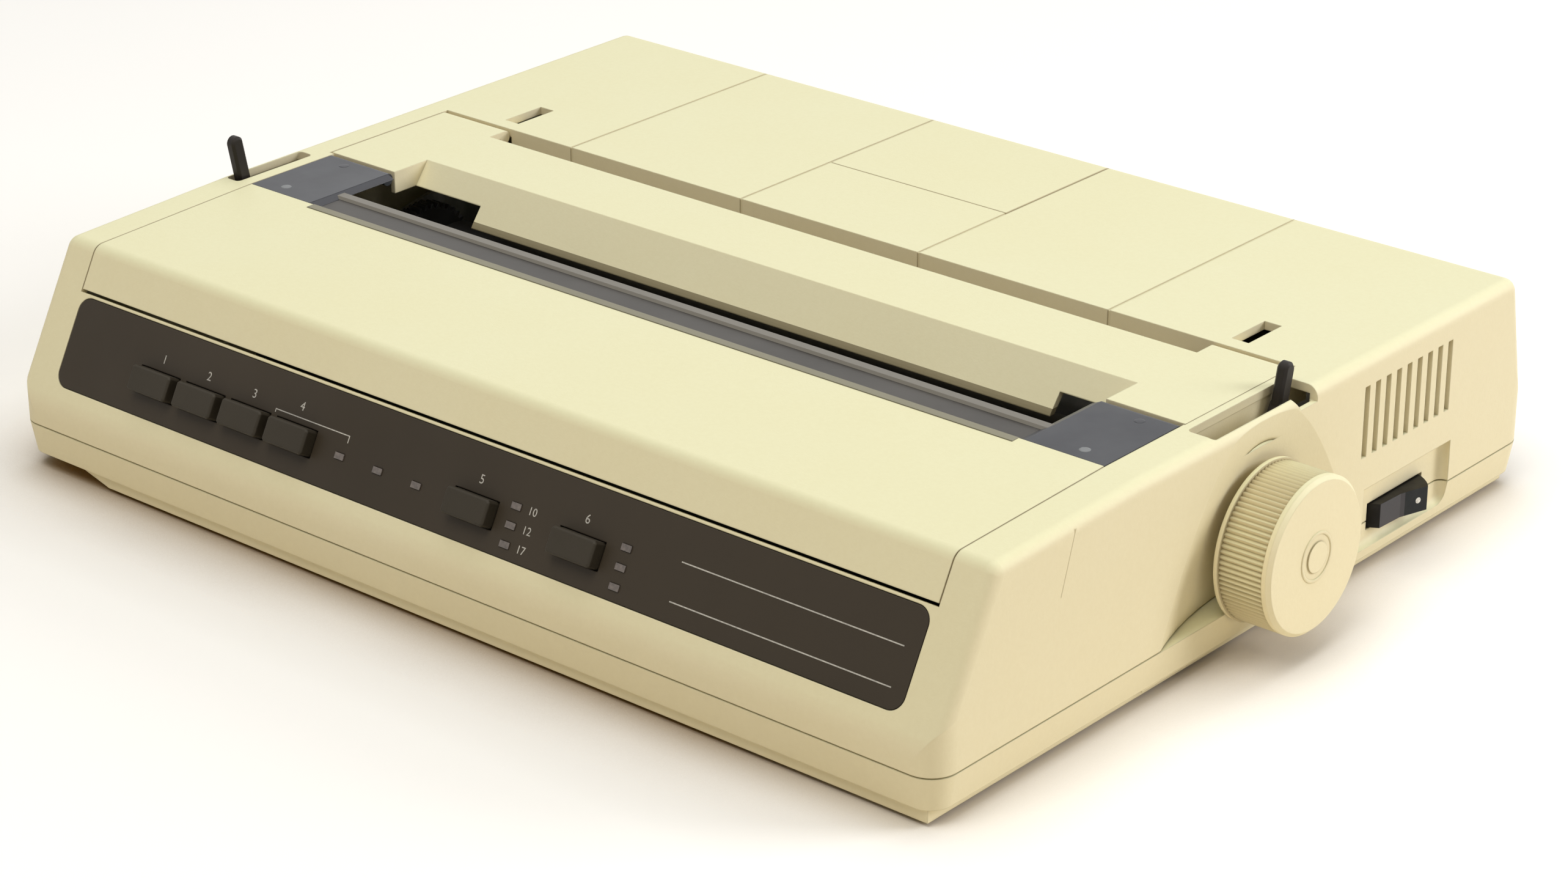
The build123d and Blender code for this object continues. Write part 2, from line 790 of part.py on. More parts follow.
# --- Control panel -----------------------------------------------------------------------------
buttons = [(first_button_x + place * button_pitch, button_up) for place in range(4)]
buttons += [(pitch_button_x, button_up - 0.5), (mode_button_x, button_up - 0.5)]
lamps = [(status_lamp_x + place * status_lamp_pitch, status_lamp_up) for place in range(3)]
lamps += [
    (x, column_lamp_up + (place - 1) * column_lamp_pitch)
    for x in (pitch_lamp_x, mode_lamp_x)
    for place in range(3)
]
with BuildPart() as control_panel:
    width = 2 * panel_half - 2 * panel_gap
    height = panel_height - 2 * panel_gap
    flat(face(0), width, height, panel_round - panel_gap, panel_thickness, at=seat)
    for place in buttons:
        hole = (button_width + 2 * button_gap, button_height + 2 * button_gap)
        flat(face(0), *hole, 0, 2 * wall, Mode.SUBTRACT, place)
    for place in lamps:
        flat(face(0), lamp_width + 0.1, lamp_height + 0.1, 0, 2 * wall, Mode.SUBTRACT, place)
finish(control_panel, "control_panel")

with BuildPart() as indicator_lenses:
    for place in lamps:
        flat(face(-lamp_rise), lamp_width, lamp_height, 0, board_depth + lamp_rise, at=place)
finish(indicator_lenses, "indicator_lenses")

with BuildPart() as panel_board:
    flat(face(board_depth), 2 * panel_half - 8, 32.0, 0, board_thickness, at=(0, 18.0))
    for place in buttons:
        switch_depth = board_depth - switch_rise
        flat(face(switch_depth), 6.0, 6.0, 0, switch_rise + 0.2, at=place)
    flat(face(board_depth + board_thickness - 0.2), 40.0, 8.0, 0, 4.2, at=(-60.0, 24.0))
finish(panel_board, "panel_board")

for number, place in enumerate(buttons, start=1):
    with BuildPart() as button:
        flat(face(-button_rise), button_width, button_height, 0, button_rise + 1.8, at=place)
        outward = Axis(origin=(0, 0, 0), direction=face(0).z_dir)
        chamfer(button.edges().filter_by(outward), 0.7)
        chamfer(button.edges().group_by(outward)[-1], 0.5)
        # Flange behind the panel and the stem that meets the switch.
        flange = (button_width + 2.4, button_height + 2.4)
        flat(face(panel_thickness + 0.3), *flange, 0, 1.0, at=place)
        stem_end = board_depth - switch_rise - 0.1 - button_travel
        flat(face(panel_thickness), 5.0, 3.0, 0, stem_end - panel_thickness, at=place)
    finish(button, f"button_{number}")

# --- Access cover with its smoked window ---------------------------------------------------------
cover_span = (-cover_half, cover_half)
with BuildPart() as access_cover:
    cased(cover_span)
    cased(cover_span, sheet, Mode.SUBTRACT)
    plate(
        cover_span,
        [
            on_face(cover_foot, 2 * sheet),
            on_face(cover_foot, -4 * sheet),
            (0, top_z + 4 * sheet),
            (cover_end_y, top_z + 4 * sheet),
            (cover_end_y, rib_z),
        ],
        Mode.INTERSECT,
    )
    # Ledge under the window's front edge and stiffening ribs under the cover.
    ledge_z = (top_z - sheet - 1.6, top_z - sheet)
    block((-cover_half + 2, cover_half - 2), (cover_end_y - 6, cover_end_y + 4), ledge_z)
    for x in cover_rib_xs:
        rib_y = (crease_y + 4, cover_end_y - 4)
        block((x - 0.8, x + 0.8), rib_y, (top_z - sheet - 5.5, top_z - sheet - 0.6))
finish(access_cover, "access_cover")

with BuildPart() as smoke_window:
    window_front_y = cover_end_y + 0.1
    window_low_z = top_z - sheet
    for side_sign in (-1, 1):
        x = sorted((side_sign * window_inner_x, side_sign * cover_half))
        plate(
            x,
            [
                (window_front_y, window_low_z),
                (window_front_y, top_z),
                (cover_pivot_y, top_z),
                (cover_pivot_y, window_low_z),
            ],
        )
        rod(x, cover_pivot, cover_bead)
        stub = sorted((side_sign * (cover_half - 2), side_sign * (cover_half + stub_length)))
        rod(stub, cover_pivot, stub_radius)
    plate(
        (-window_inner_x, window_inner_x),
        [
            (window_front_y, window_low_z),
            (window_front_y, top_z),
            (window_front_y + 2.4, top_z - strip_drop),
            (strip_rear_y - 4.6, top_z - strip_drop),
            (strip_rear_y - 3.6, top_z - 0.4),
            (strip_rear_y - 0.8, top_z - 0.4),
            (strip_rear_y, top_z - strip_drop),
            (strip_rear_y, window_low_z),
        ],
    )
finish(smoke_window, "smoke_window")

# --- Paper separator -----------------------------------------------------------------------------
with BuildPart() as paper_separator:
    plate(
        (-window_inner_x, window_inner_x),
        [
            (slot_front_y, separator_top_z),
            (bevel_top_y, separator_top_z),
            (bevel_low_y, bevel_low_z),
            (bevel_low_y - 0.6, lip_low_z),
            (bevel_low_y + 1.6, lip_low_z),
            (bevel_low_y + separator_skin, bevel_low_z),
            (bevel_top_y + 1.2, separator_top_z - separator_skin),
            (slot_front_y - separator_skin, separator_top_z - separator_skin),
            (slot_front_y - separator_skin, end_block_z),
            (slot_front_y, end_block_z),
        ],
    )
    # Openings at both ends of the sloped face.
    for x in (
        (-window_inner_x, left_notch - window_inner_x),
        (window_inner_x - right_notch, window_inner_x),
    ):
        block(x, (separator_front_y, bevel_top_y), (lip_low_z - 1, end_block_z), Mode.SUBTRACT)
    # Ears with their inner walls, hinge beads and pivot stubs.
    skin_z = (separator_top_z - separator_skin, separator_top_z)
    for ear, wall_x in (
        ((separator_left, -window_inner_x), (-window_inner_x - 1.6, -window_inner_x)),
        ((window_inner_x, separator_right), (window_inner_x, window_inner_x + 1.6)),
    ):
        block(ear, (separator_front_y, separator_pivot_y), skin_z)
        block(wall_x, (separator_front_y, slot_front_y), (end_block_z, separator_top_z))
        rod(ear, separator_pivot, separator_bead)
    rod((separator_left - stub_length, separator_left + 2), separator_pivot, stub_radius)
    rod((separator_right - 2, separator_right + stub_length), separator_pivot, stub_radius)
    for x in separator_rib_xs:
        rib_y = (bevel_top_y + 2, slot_front_y - separator_skin)
        block((x - 0.7, x + 0.7), rib_y, (end_block_z, separator_top_z - 1))
finish(paper_separator, "paper_separator")

# --- Side frames ---------------------------------------------------------------------------------
bail_pivot = (bail_pivot_y, bail_pivot_z)
guide_axis = (guide_y, guide_z)
press_pivot = (press_pivot_y, press_pivot_z)
gear_reach = gear_module * (platen_teeth + idler_teeth) / 2 + mesh_slack
idler_axis = polar(platen_axis, gear_reach, idler_angle)
pinion_reach = gear_module * (idler_teeth + pinion_teeth) / 2 + mesh_slack
pinion_axis = polar(idler_axis, pinion_reach, pinion_angle)


def frame_plate(x, low, flange):
    """A side frame with its foot flange and the bores of the shafts that it carries."""
    outline = [(frame_front_y, low), (frame_front_y, low + 12)] + frame_top + [(frame_rear_y, low)]
    plate(x, outline)
    block(flange, (frame_front_y + 4, frame_rear_y - 4), (low, low + frame_thickness))
    rod(x, platen_axis, bush_radius, Mode.SUBTRACT)
    rod(x, bail_pivot, bail_stub_radius + running, Mode.SUBTRACT)
    rod(x, guide_axis, guide_radius, Mode.SUBTRACT)
    # Keyhole of the pressure bar's pivot rod.
    slot_reach = press_rod_radius + running
    slot_y = (press_pivot_y - slot_reach, press_pivot_y + slot_reach)
    block(x, slot_y, (press_pivot_z - slot_reach, press_pivot_z + slot_reach), Mode.SUBTRACT)


with BuildPart() as left_side_frame:
    left_x = (-frame_x - frame_thickness, -frame_x)
    frame_plate(left_x, frame_low_z, (left_x[0] - 7, left_x[1]))
    opening = motor_shaft_radius + 1
    opening_y = (pinion_axis[0] - opening, pinion_axis[0] + opening)
    opening_z = (pinion_axis[1] - opening, pinion_axis[1] + opening)
    block(left_x, opening_y, opening_z, Mode.SUBTRACT)
    rod((-frame_x, gear_outer_x + gear_width + 0.8), idler_axis, stud_radius)
finish(left_side_frame, "left_side_frame")

with BuildPart() as right_side_frame:
    right_x = (frame_x, frame_x + frame_thickness)
    frame_plate(right_x, floor_z, (right_x[0], right_x[1] + 7))
finish(right_side_frame, "right_side_frame")

with BuildPart() as platen_bushes:
    for bush_x in (
        (-frame_x - 4.5, -frame_x + 1.0),
        (frame_x - 1.5, release_hub_x + release_hub_width + 0.6),
    ):
        rod(bush_x, platen_axis, bush_radius)
        rod(bush_x, platen_axis, shaft_radius + running, Mode.SUBTRACT)
finish(platen_bushes, "platen_bushes")

# --- Platen --------------------------------------------------------------------------------------
with BuildPart() as platen_roller:
    rod((-platen_half, platen_half), platen_axis, platen_radius)
    rod((-platen_half, platen_half), platen_axis, core_radius, Mode.SUBTRACT)
finish(platen_roller, "platen_roller")

with BuildPart() as platen_shaft:
    rod((-platen_half + 0.5, platen_half - 0.5), platen_axis, core_radius)
    rod((-frame_x - 5.5, half + knob_reach - 4), platen_axis, shaft_radius)
finish(platen_shaft, "platen_shaft")

with BuildPart() as platen_gear:
    gear(platen_axis, platen_teeth, idler_angle)
    gear_x = (gear_outer_x, gear_outer_x + gear_width)
    rod(gear_x, platen_axis, shaft_radius, Mode.SUBTRACT)
finish(platen_gear, "platen_gear")

with BuildPart() as platen_knob:
    body_x = half + knob_gap + 1.2
    rim_x = half + knob_reach - 2.8
    rod((half + knob_gap, body_x), platen_axis, knob_flange_radius)
    profile = ((knob_radius - rib_depth, -0.5), (knob_radius, 0))
    toothed(side(body_x, platen_axis), rib_count, profile, rim_x - body_x)
    knob_face_x = half + knob_reach - 0.4
    rod((rim_x, knob_face_x), platen_axis, knob_radius)
    chamfer(platen_knob.edges().filter_by(GeomType.CIRCLE).group_by(Axis.X)[-1], 1.1)
    # Low round boss on the face, and the bore of the shaft.
    rod((knob_face_x, half + knob_reach), platen_axis, 4.4)
    rod((half + knob_gap, half + knob_reach - 4), platen_axis, shaft_radius, Mode.SUBTRACT)
finish(platen_knob, "platen_knob")

# --- Feed train ----------------------------------------------------------------------------------
idler_pitch = 360 / idler_teeth
idler_phase = idler_angle + 180 + idler_pitch / 2
idler_lag = (idler_phase - pinion_angle + idler_pitch / 2) % idler_pitch - idler_pitch / 2
pinion_phase = pinion_angle + 180 - idler_lag * idler_teeth / pinion_teeth + 180 / pinion_teeth

with BuildPart() as idler_gear:
    gear(idler_axis, idler_teeth, idler_phase)
    rod(gear_x, idler_axis, stud_radius + running, Mode.SUBTRACT)
finish(idler_gear, "idler_gear")

with BuildPart() as feed_pinion:
    gear(pinion_axis, pinion_teeth, pinion_phase)
    rod((left_x[0] - 14, gear_x[1] + 1), pinion_axis, motor_shaft_radius)
finish(feed_pinion, "feed_pinion")

with BuildPart() as feed_motor:
    motor_x = (left_x[0] - motor_length, left_x[0])
    rod(motor_x, pinion_axis, motor_radius)
    ears_x = (motor_x[1] - 1.2, motor_x[1])
    lug = motor_radius + 6.5
    plate(
        ears_x,
        [
            polar(pinion_axis, lug, 55),
            polar(pinion_axis, lug, 35),
            polar(pinion_axis, lug, 235),
            polar(pinion_axis, lug, 215),
        ],
    )
    rod((motor_x[1] - 15, motor_x[1]), pinion_axis, motor_shaft_radius + running, Mode.SUBTRACT)
finish(feed_motor, "feed_motor")

# --- Paper chute and pressure rollers ------------------------------------------------------------
press_axis = (platen_y, platen_z - platen_radius - press_gap - press_radius)
chute_radius = platen_radius + chute_gap + chute_thickness / 2
with BuildPart() as paper_chute:
    with BuildSketch(side(-chute_half)):
        with BuildLine():
            CenterArc(platen_axis, chute_radius, chute_start, 360 + chute_end - chute_start)
            Line(polar(platen_axis, chute_radius, chute_end), (chute_top_y, chute_top_z))
        trace(line_width=chute_thickness)
    extrude(amount=2 * chute_half)
    for x in press_xs:
        window_x = (x - press_width / 2 - 1, x + press_width / 2 + 1)
        window_y = (platen_y - 7, platen_y + 7)
        block(window_x, window_y, (0, platen_z - platen_radius), Mode.SUBTRACT)
    # Tabs that hang the chute on the side frames.
    lean_y = (chute_top_y - polar(platen_axis, chute_radius, chute_end)[0]) / (
        chute_top_z - polar(platen_axis, chute_radius, chute_end)[1]
    )
    tab_low_y = chute_top_y - (chute_top_z - chute_tab_low_z) * lean_y
    for x in ((-frame_x, -chute_half + 1), (chute_half - 1, frame_x)):
        plate(
            x,
            [
                (tab_low_y - 0.6, chute_tab_low_z),
                (chute_top_y - 0.6, chute_top_z),
                (chute_top_y + 0.6, chute_top_z),
                (tab_low_y + 0.6, chute_tab_low_z),
            ],
        )
finish(paper_chute, "paper_chute")

with BuildPart() as pressure_rollers:
    for x in press_xs:
        rod((x - press_width / 2, x + press_width / 2), press_axis, press_radius)
    rod((-press_rod_half, press_rod_half), press_axis, press_shaft_radius)
finish(pressure_rollers, "pressure_rollers")

with BuildPart() as pressure_carrier:
    rod((-frame_x - 3, frame_x + 3), press_pivot, press_rod_radius)
    for x in press_xs:
        for fork_left in (x - press_width / 2 - 2.2, x + press_width / 2 + 0.6):
            fork_x = (fork_left, fork_left + 1.6)
            fork(fork_x, press_pivot, press_axis, press_fork_radius)
            rod(fork_x, press_axis, press_shaft_radius + running, Mode.SUBTRACT)
    fork((release_hub_x, release_hub_x + 2), press_pivot, press_finger, 1.8)
finish(pressure_carrier, "pressure_carrier")

# --- Bail ----------------------------------------------------------------------------------------
closed_rod = polar(
    platen_axis, platen_radius + bail_roller_radius + bail_roller_gap, 180 - bail_angle
)
bail_rod = turned(closed_rod, bail_pivot, bail_swing)
with BuildPart() as bail_arms:
    rod((bail_lever_x, -bail_arm_x), bail_pivot, bail_stub_radius)
    rod((bail_arm_x, frame_x + 3), bail_pivot, bail_stub_radius)
    rod((-bail_arm_x, bail_arm_x), bail_rod, bail_rod_radius)
    for x in (-bail_arm_x, bail_arm_x):
        arm_x = (x - 1.0, x + 1.0)
        bar(arm_x, bail_pivot, bail_rod, 3.0)
finish(bail_arms, "bail_arms")

with BuildPart() as bail_lever:
    lever_x = (bail_lever_x - lever_thickness / 2, bail_lever_x + lever_thickness / 2)
    grip(bail_lever, lever_x, bail_handle_low, bail_handle_top)
    bar(lever_x, bail_pivot, bail_handle_low, lever_width / 2)
    rod(lever_x, bail_pivot, 5.0)
    rod((bail_lever_x, lever_x[1]), bail_pivot, bail_stub_radius, Mode.SUBTRACT)
finish(bail_lever, "bail_lever")

with BuildPart() as bail_rollers:
    for x in bail_roller_xs:
        span = (x - bail_roller_width / 2, x + bail_roller_width / 2)
        rod(span, bail_rod, bail_roller_radius)
        rod(span, bail_rod, bail_rod_radius + running, Mode.SUBTRACT)
finish(bail_rollers, "bail_rollers")

# --- Release lever -------------------------------------------------------------------------------
with BuildPart() as release_lever:
    handle_x = (release_lever_x - lever_thickness / 2, release_lever_x + lever_thickness / 2)
    grip(release_lever, handle_x, release_bend, release_tip)
    hub_x = (release_hub_x, release_hub_x + release_hub_width)
    crank = polar(platen_axis, release_jog, release_angle)
    rod(hub_x, platen_axis, bush_radius + 3)
    fork((hub_x[0], hub_x[0] + 2.6), platen_axis, crank, 2.4)
    rod(hub_x, platen_axis, bush_radius + running, Mode.SUBTRACT)
    rod((hub_x[0], handle_x[1]), crank, 2.4)
    bar(handle_x, crank, release_bend, lever_width / 2)
finish(release_lever, "release_lever")

# --- Carriage guides -----------------------------------------------------------------------------
with BuildPart() as guide_shaft:
    rod((-frame_x - frame_thickness, frame_x + frame_thickness), guide_axis, guide_radius)
finish(guide_shaft, "guide_shaft")

with BuildPart() as guide_rail:
    rail_x = (-rail_half, rail_half)
    block(rail_x, (rail_y - rail_thickness / 2, rail_y + rail_thickness / 2), (floor_z, rail_top_z))
    block(rail_x, (rail_y - 7, rail_y), (floor_z, floor_z + rail_thickness))
finish(guide_rail, "guide_rail")

# --- Carriage with head and ribbon ---------------------------------------------------------------
home = carriage_home_x
with BuildPart() as carriage:
    body = (home - carriage_half, home + carriage_half)
    block(body, (carriage_front_y, carriage_rear_y), (carriage_low_z, carriage_top_z))
    rod(body, guide_axis, guide_radius + running, Mode.SUBTRACT)
    rail_gap = rail_thickness / 2 + slide_gap
    rail_slot_z = (0, rail_top_z + slide_gap)
    block(body, (rail_y - rail_gap, rail_y + rail_gap), rail_slot_z, Mode.SUBTRACT)
    # Cheeks that carry the ribbon cartridge.
    for x in (body[0], body[1] - 3):
        block((x, x + 3), (carriage_front_y + 2, carriage_rear_y - 12), (20, cartridge_low_z))
    # Clamp round the rear run of the belt.
    run_y = belt_y + pulley_radius + belt_thickness / 2
    clamp_x = (home - 6, home + 6)
    clamp_y = (run_y - 4, carriage_front_y + 3)
    block(clamp_x, clamp_y, (belt_low_z - 8, belt_low_z - 1.5))
    block(clamp_x, (run_y + 2, carriage_front_y), (belt_low_z - 2, belt_low_z + belt_width))
    block(clamp_x, (run_y - 4, run_y - 2), (belt_low_z - 2, belt_low_z + belt_width))
    block(clamp_x, (carriage_front_y - 1, carriage_front_y + 3), (carriage_low_z + 8, belt_low_z))
finish(carriage, "carriage")

with BuildPart() as print_head:
    fin_x = (home - head_half, home + head_half)
    head_rear_y = carriage_rear_y
    for fin in range(head_fins):
        z = carriage_top_z + fin * head_pitch
        block(fin_x, (head_front_y, head_rear_y), (z, z + head_pitch / 2))
    core_z = (carriage_top_z, carriage_top_z + (head_fins - 0.5) * head_pitch)
    block((home - head_half + 3, home + head_half - 3), (head_front_y + 3, head_rear_y), core_z)
    nose_y = platen_y - platen_radius - head_gap
    with BuildSketch(cross(head_rear_y - 1)):
        with Locations((home, platen_z)):
            Rectangle(16, 12)
    with BuildSketch(cross(nose_y)):
        with Locations((home, platen_z)):
            Rectangle(6, 6)
    loft()
finish(print_head, "print_head")

with BuildPart() as ribbon_cartridge:
    cartridge_x = (home - cartridge_half, home + cartridge_half)
    cartridge_y = (cartridge_front_y, cartridge_rear_y)
    block(cartridge_x, cartridge_y, (cartridge_low_z, cartridge_high_z))
    chamfer(ribbon_cartridge.edges().filter_by(Axis.Z), 3.0)
    chamfer(ribbon_cartridge.edges().group_by(Axis.Z)[-1], 0.8)
    post((home + 16, cartridge_front_y + 15), 5.0, (cartridge_high_z - 1, cartridge_high_z + 3))
finish(ribbon_cartridge, "ribbon_cartridge")

# --- Carriage drive ------------------------------------------------------------------------------
belt_z = (belt_low_z, belt_low_z + belt_width)


def pulley(x, shaft, bore):
    """A toothed belt pulley about an upright axis, on its own shaft or with a bore."""
    centre = (x, belt_y)
    profile = ((pulley_radius - 1.0, -0.5), (pulley_radius - 0.3, 0))
    plane = Plane(origin=(case_x + x, front_y + belt_y, belt_z[0] - 0.8))
    toothed(plane, pulley_teeth, profile, belt_width + 1.6)
    if shaft:
        post(centre, shaft, (belt_z[0] - 12, belt_z[1] + 2.6))
    if bore:
        post(centre, bore, (belt_z[0] - 2, belt_z[1] + 2), Mode.SUBTRACT)


with BuildPart() as drive_pulley:
    pulley(drive_x, 2.0, 0)
finish(drive_pulley, "drive_pulley")
with BuildPart() as tension_pulley:
    pulley(tension_x, 0, stud_radius + running)
finish(tension_pulley, "tension_pulley")

with BuildPart() as tension_bracket:
    centre = (tension_x, belt_y)
    boss(centre, (floor_z, belt_z[0] - 2))
    post(centre, stud_radius, (belt_z[0] - 2.2, belt_z[1] + 1.9))
    block((tension_x - 8, tension_x + 14), (belt_y - 8, belt_y + 8), (floor_z, floor_z + 2))
finish(tension_bracket, "tension_bracket")

with BuildPart() as drive_belt:
    with BuildSketch(level(belt_z[0])):
        with Locations(((drive_x + tension_x) / 2, belt_y)):
            SlotCenterToCenter(drive_x - tension_x, 2 * (pulley_radius + belt_thickness))
            SlotCenterToCenter(drive_x - tension_x, 2 * pulley_radius, mode=Mode.SUBTRACT)
    extrude(amount=belt_width)
finish(drive_belt, "drive_belt")

with BuildPart() as carriage_motor:
    centre = (drive_x, belt_y)
    post(centre, motor_radius - 1, (floor_z, carriage_motor_top_z - 2))
    post(centre, 2.0 + running, (belt_z[0] - 13, carriage_motor_top_z), Mode.SUBTRACT)
    block((drive_x - 20, drive_x + 16), (belt_y - 5, belt_y + 5), (floor_z, floor_z + 1.5))
finish(carriage_motor, "carriage_motor")

# --- Power switch --------------------------------------------------------------------------------
rocker_plane = Plane(
    origin=(case_x + rocker_pivot_x, front_y + rocker_y, rocker_low_z),
    x_dir=(1, 0, 0),
    z_dir=(0, 0, 1),
).rotated((0, 0, -rocker_tilt))
with BuildPart() as power_rocker:
    with BuildSketch(rocker_plane):
        with BuildLine():
            sweep_angle = rocker_heel - rocker_corner
            rear = CenterArc((0, 0), rocker_radius, rocker_corner, sweep_angle)
            front = CenterArc((0, 0), rocker_radius, -rocker_heel, sweep_angle)
            Polyline(front @ 1, (rocker_depth, 0), rear @ 0)
            Line(rear @ 1, front @ 0)
        make_face()
    extrude(amount=rocker_high_z - rocker_low_z)
    pin = (rocker_pivot_x, rocker_y)
    post(pin, 1.2, (rocker_low_z - 0.8, rocker_high_z + 1.0))
finish(power_rocker, "power_rocker")

with BuildPart() as switch_body:
    body_x = (rocker_pivot_x - 15.0, rocker_pivot_x - 5.5)
    block(body_x, (rocker_y - 12, rocker_y + 12), (floor_z, rocker_high_z + 2))
    for low, high in (
        (rocker_low_z - 0.9, rocker_low_z - 0.1),
        (rocker_high_z + 0.1, rocker_high_z + 1.4),
    ):
        block((body_x[1] - 1, rocker_pivot_x + 2.4), (rocker_y - 3, rocker_y + 3), (low, high))
    # Open notches that the rocker's pins snap into.
    notch_x = (rocker_pivot_x - 1.2 - running, rocker_pivot_x + 3)
    notch_y = (rocker_y - 1.2 - running, rocker_y + 1.2 + running)
    block(notch_x, notch_y, (rocker_low_z - 1, rocker_high_z + 1.5), Mode.SUBTRACT)
    for y in (rocker_y - 7, rocker_y, rocker_y + 7):
        block((body_x[0] - 6, body_x[0]), (y - 0.4, y + 0.4), (11, 15))
finish(switch_body, "switch_body")

# --- Electronics ---------------------------------------------------------------------------------
board_top = main_board_z + board_thickness
with BuildPart() as main_board:
    block(board_x, board_y, (main_board_z, board_top))
    for x in (board_x[0] + 6, board_x[1] - 6):
        for y in (board_y[0] + 6, board_y[1] - 6):
            boss((x, y), (floor_z, main_board_z), 6.0)
finish(main_board, "main_board")

with BuildPart() as board_components:
    for x, y, width, depth in chips:
        block((x, x + width), (y, y + depth), (board_top, board_top + 4.5))
    for x, y, radius, height in capacitors:
        post((x, y), radius, (board_top, board_top + height))
finish(board_components, "board_components")

with BuildPart() as transformer:
    core_x, core_y = (70.0, 122.0), (192.0, 240.0)
    block(core_x, core_y, (floor_z, 50))
    block((core_x[0] + 10, core_x[1] - 10), (core_y[0] - 7, core_y[1] + 7), (9, 45))
    block((core_x[0] - 7, core_x[1] + 7), (core_y[0] + 14, core_y[1] - 14), (floor_z, floor_z + 2))
finish(transformer, "transformer")

with BuildPart() as power_inlet:
    inlet_x_span = (inlet_x - inlet_width / 2, inlet_x + inlet_width / 2)
    inlet_y = (inlet_rear_y - inlet_depth, inlet_rear_y)
    inlet_z_span = (inlet_z - inlet_height / 2, inlet_z + inlet_height / 2)
    block(inlet_x_span, inlet_y, inlet_z_span)
    with BuildSketch(cross(inlet_rear_y)):
        with Locations((inlet_x, inlet_z)):
            RectangleRounded(inlet_width - 5, inlet_height - 5, 3.0)
    extrude(amount=inlet_depth - 3, mode=Mode.SUBTRACT)
    block((inlet_x - 8, inlet_x + 8), (inlet_y[0] + 2, inlet_y[0] + 9), (floor_z, inlet_z_span[0]))
    for x, z in ((-7, -2), (0, 2), (7, -2)):
        pin_x = (inlet_x + x - 1, inlet_x + x + 1)
        block(pin_x, (inlet_y[0] + 2, inlet_rear_y - 3), (inlet_z + z - 2, inlet_z + z + 2))
finish(power_inlet, "power_inlet")

with BuildPart() as interface_connector:
    port_span = (port_x - port_width / 2, port_x + port_width / 2)
    block(port_span, (port_rear_y - 16, port_rear_y), (port_low_z, port_high_z))
    block((port_span[0] + 2, port_span[1] - 2), (248, port_rear_y - 10), (board_top, port_high_z - 2))
    with BuildSketch(cross(port_rear_y)):
        with Locations((port_x, (port_low_z + port_high_z) / 2)):
            Rectangle(port_width - 14, 7.0)
            Rectangle(port_width - 20, 2.6, mode=Mode.SUBTRACT)
    extrude(amount=9, mode=Mode.SUBTRACT)
finish(interface_connector, "interface_connector")
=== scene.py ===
import json
import math

import bmesh
import bpy
from mathutils import Matrix, Vector


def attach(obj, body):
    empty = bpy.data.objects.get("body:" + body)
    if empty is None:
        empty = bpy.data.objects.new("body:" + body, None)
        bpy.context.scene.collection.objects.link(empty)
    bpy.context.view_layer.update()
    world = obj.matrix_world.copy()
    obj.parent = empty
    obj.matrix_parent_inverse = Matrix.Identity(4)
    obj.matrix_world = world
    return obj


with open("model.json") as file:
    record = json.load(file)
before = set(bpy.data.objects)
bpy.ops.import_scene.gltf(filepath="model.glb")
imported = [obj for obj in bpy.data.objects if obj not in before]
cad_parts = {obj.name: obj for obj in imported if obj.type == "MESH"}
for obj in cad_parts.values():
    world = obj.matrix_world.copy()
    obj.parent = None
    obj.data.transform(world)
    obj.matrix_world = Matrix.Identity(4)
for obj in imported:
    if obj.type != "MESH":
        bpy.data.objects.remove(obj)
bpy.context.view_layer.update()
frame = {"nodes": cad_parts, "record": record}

MM = 0.001

# --- The case's own coordinates: x from its middle, y from its front, z from the table, in mm ---
CASE_X = -8.9
CASE_Y = -137.1
LIP_Z = 22.0
SLOPE = math.atan2(23.0, 65.0 - LIP_Z)
TOP_Z = 66.8
FLANK_X = 171.2
COVER_END_Y = 83.7
COVER_PIVOT_Y = 116.2
WINDOW_X = 133.0
STRIP_DROP = 1.2
STRIP_RIB_Y = 93.6
SEPARATOR_LIP_Z = 55.8
PLATEN_Y = 137.8
PLATEN_Z = 31.0
KNOB_FACE_X = 188.6
ROCKER_Y = 208.8
ROCKER_Z = 16.0
HEAD_X = -98.0
NOSE_Y = 121.9
CARTRIDGE_REAR_Y = 103.0
SCREW_PLACES = ((-154.0, 252.0), (154.0, 252.0))
SCREW_HEAD_Z = 6.3
PORT_X = -45.0
PORT_Z = 21.9
PORT_REAR_Y = 270.5
SINK = 0.02  # added shapes start this far below the surface that they lie on


def at(x, y, z):
    """A point of the case, in metres in the row frame."""
    return Vector(((CASE_X + x) * MM, (CASE_Y + y) * MM, z * MM))


def on_panel(x, up, out=0.0):
    """A point of the sloped panel: across, up the slope and out from it, in mm."""
    y = up * math.sin(SLOPE) - out * math.cos(SLOPE)
    z = LIP_Z + up * math.cos(SLOPE) + out * math.sin(SLOPE)
    return at(x, y, z)


# --- Camera ----------------------------------------------------------------------------------
PHOTO_WIDTH = 2566
FOCAL_PX = 6510.6
EYE = at(690.5, -666.7, 482.6)
AIM = at(-5.42, 150.84, 2.39)

camera_data = bpy.data.cameras.new("photo_camera")
camera_data.sensor_fit = "HORIZONTAL"
camera_data.sensor_width = 36.0
camera_data.lens = FOCAL_PX / PHOTO_WIDTH * camera_data.sensor_width
camera_data.clip_start = 0.05
camera_data.clip_end = 50
camera = bpy.data.objects.new("photo_camera", camera_data)
camera.location = EYE
camera.rotation_euler = (AIM - EYE).to_track_quat("-Z", "Y").to_euler()
bpy.context.scene.collection.objects.link(camera)
bpy.context.scene.camera = camera
bpy.context.scene.view_settings.view_transform = "Standard"


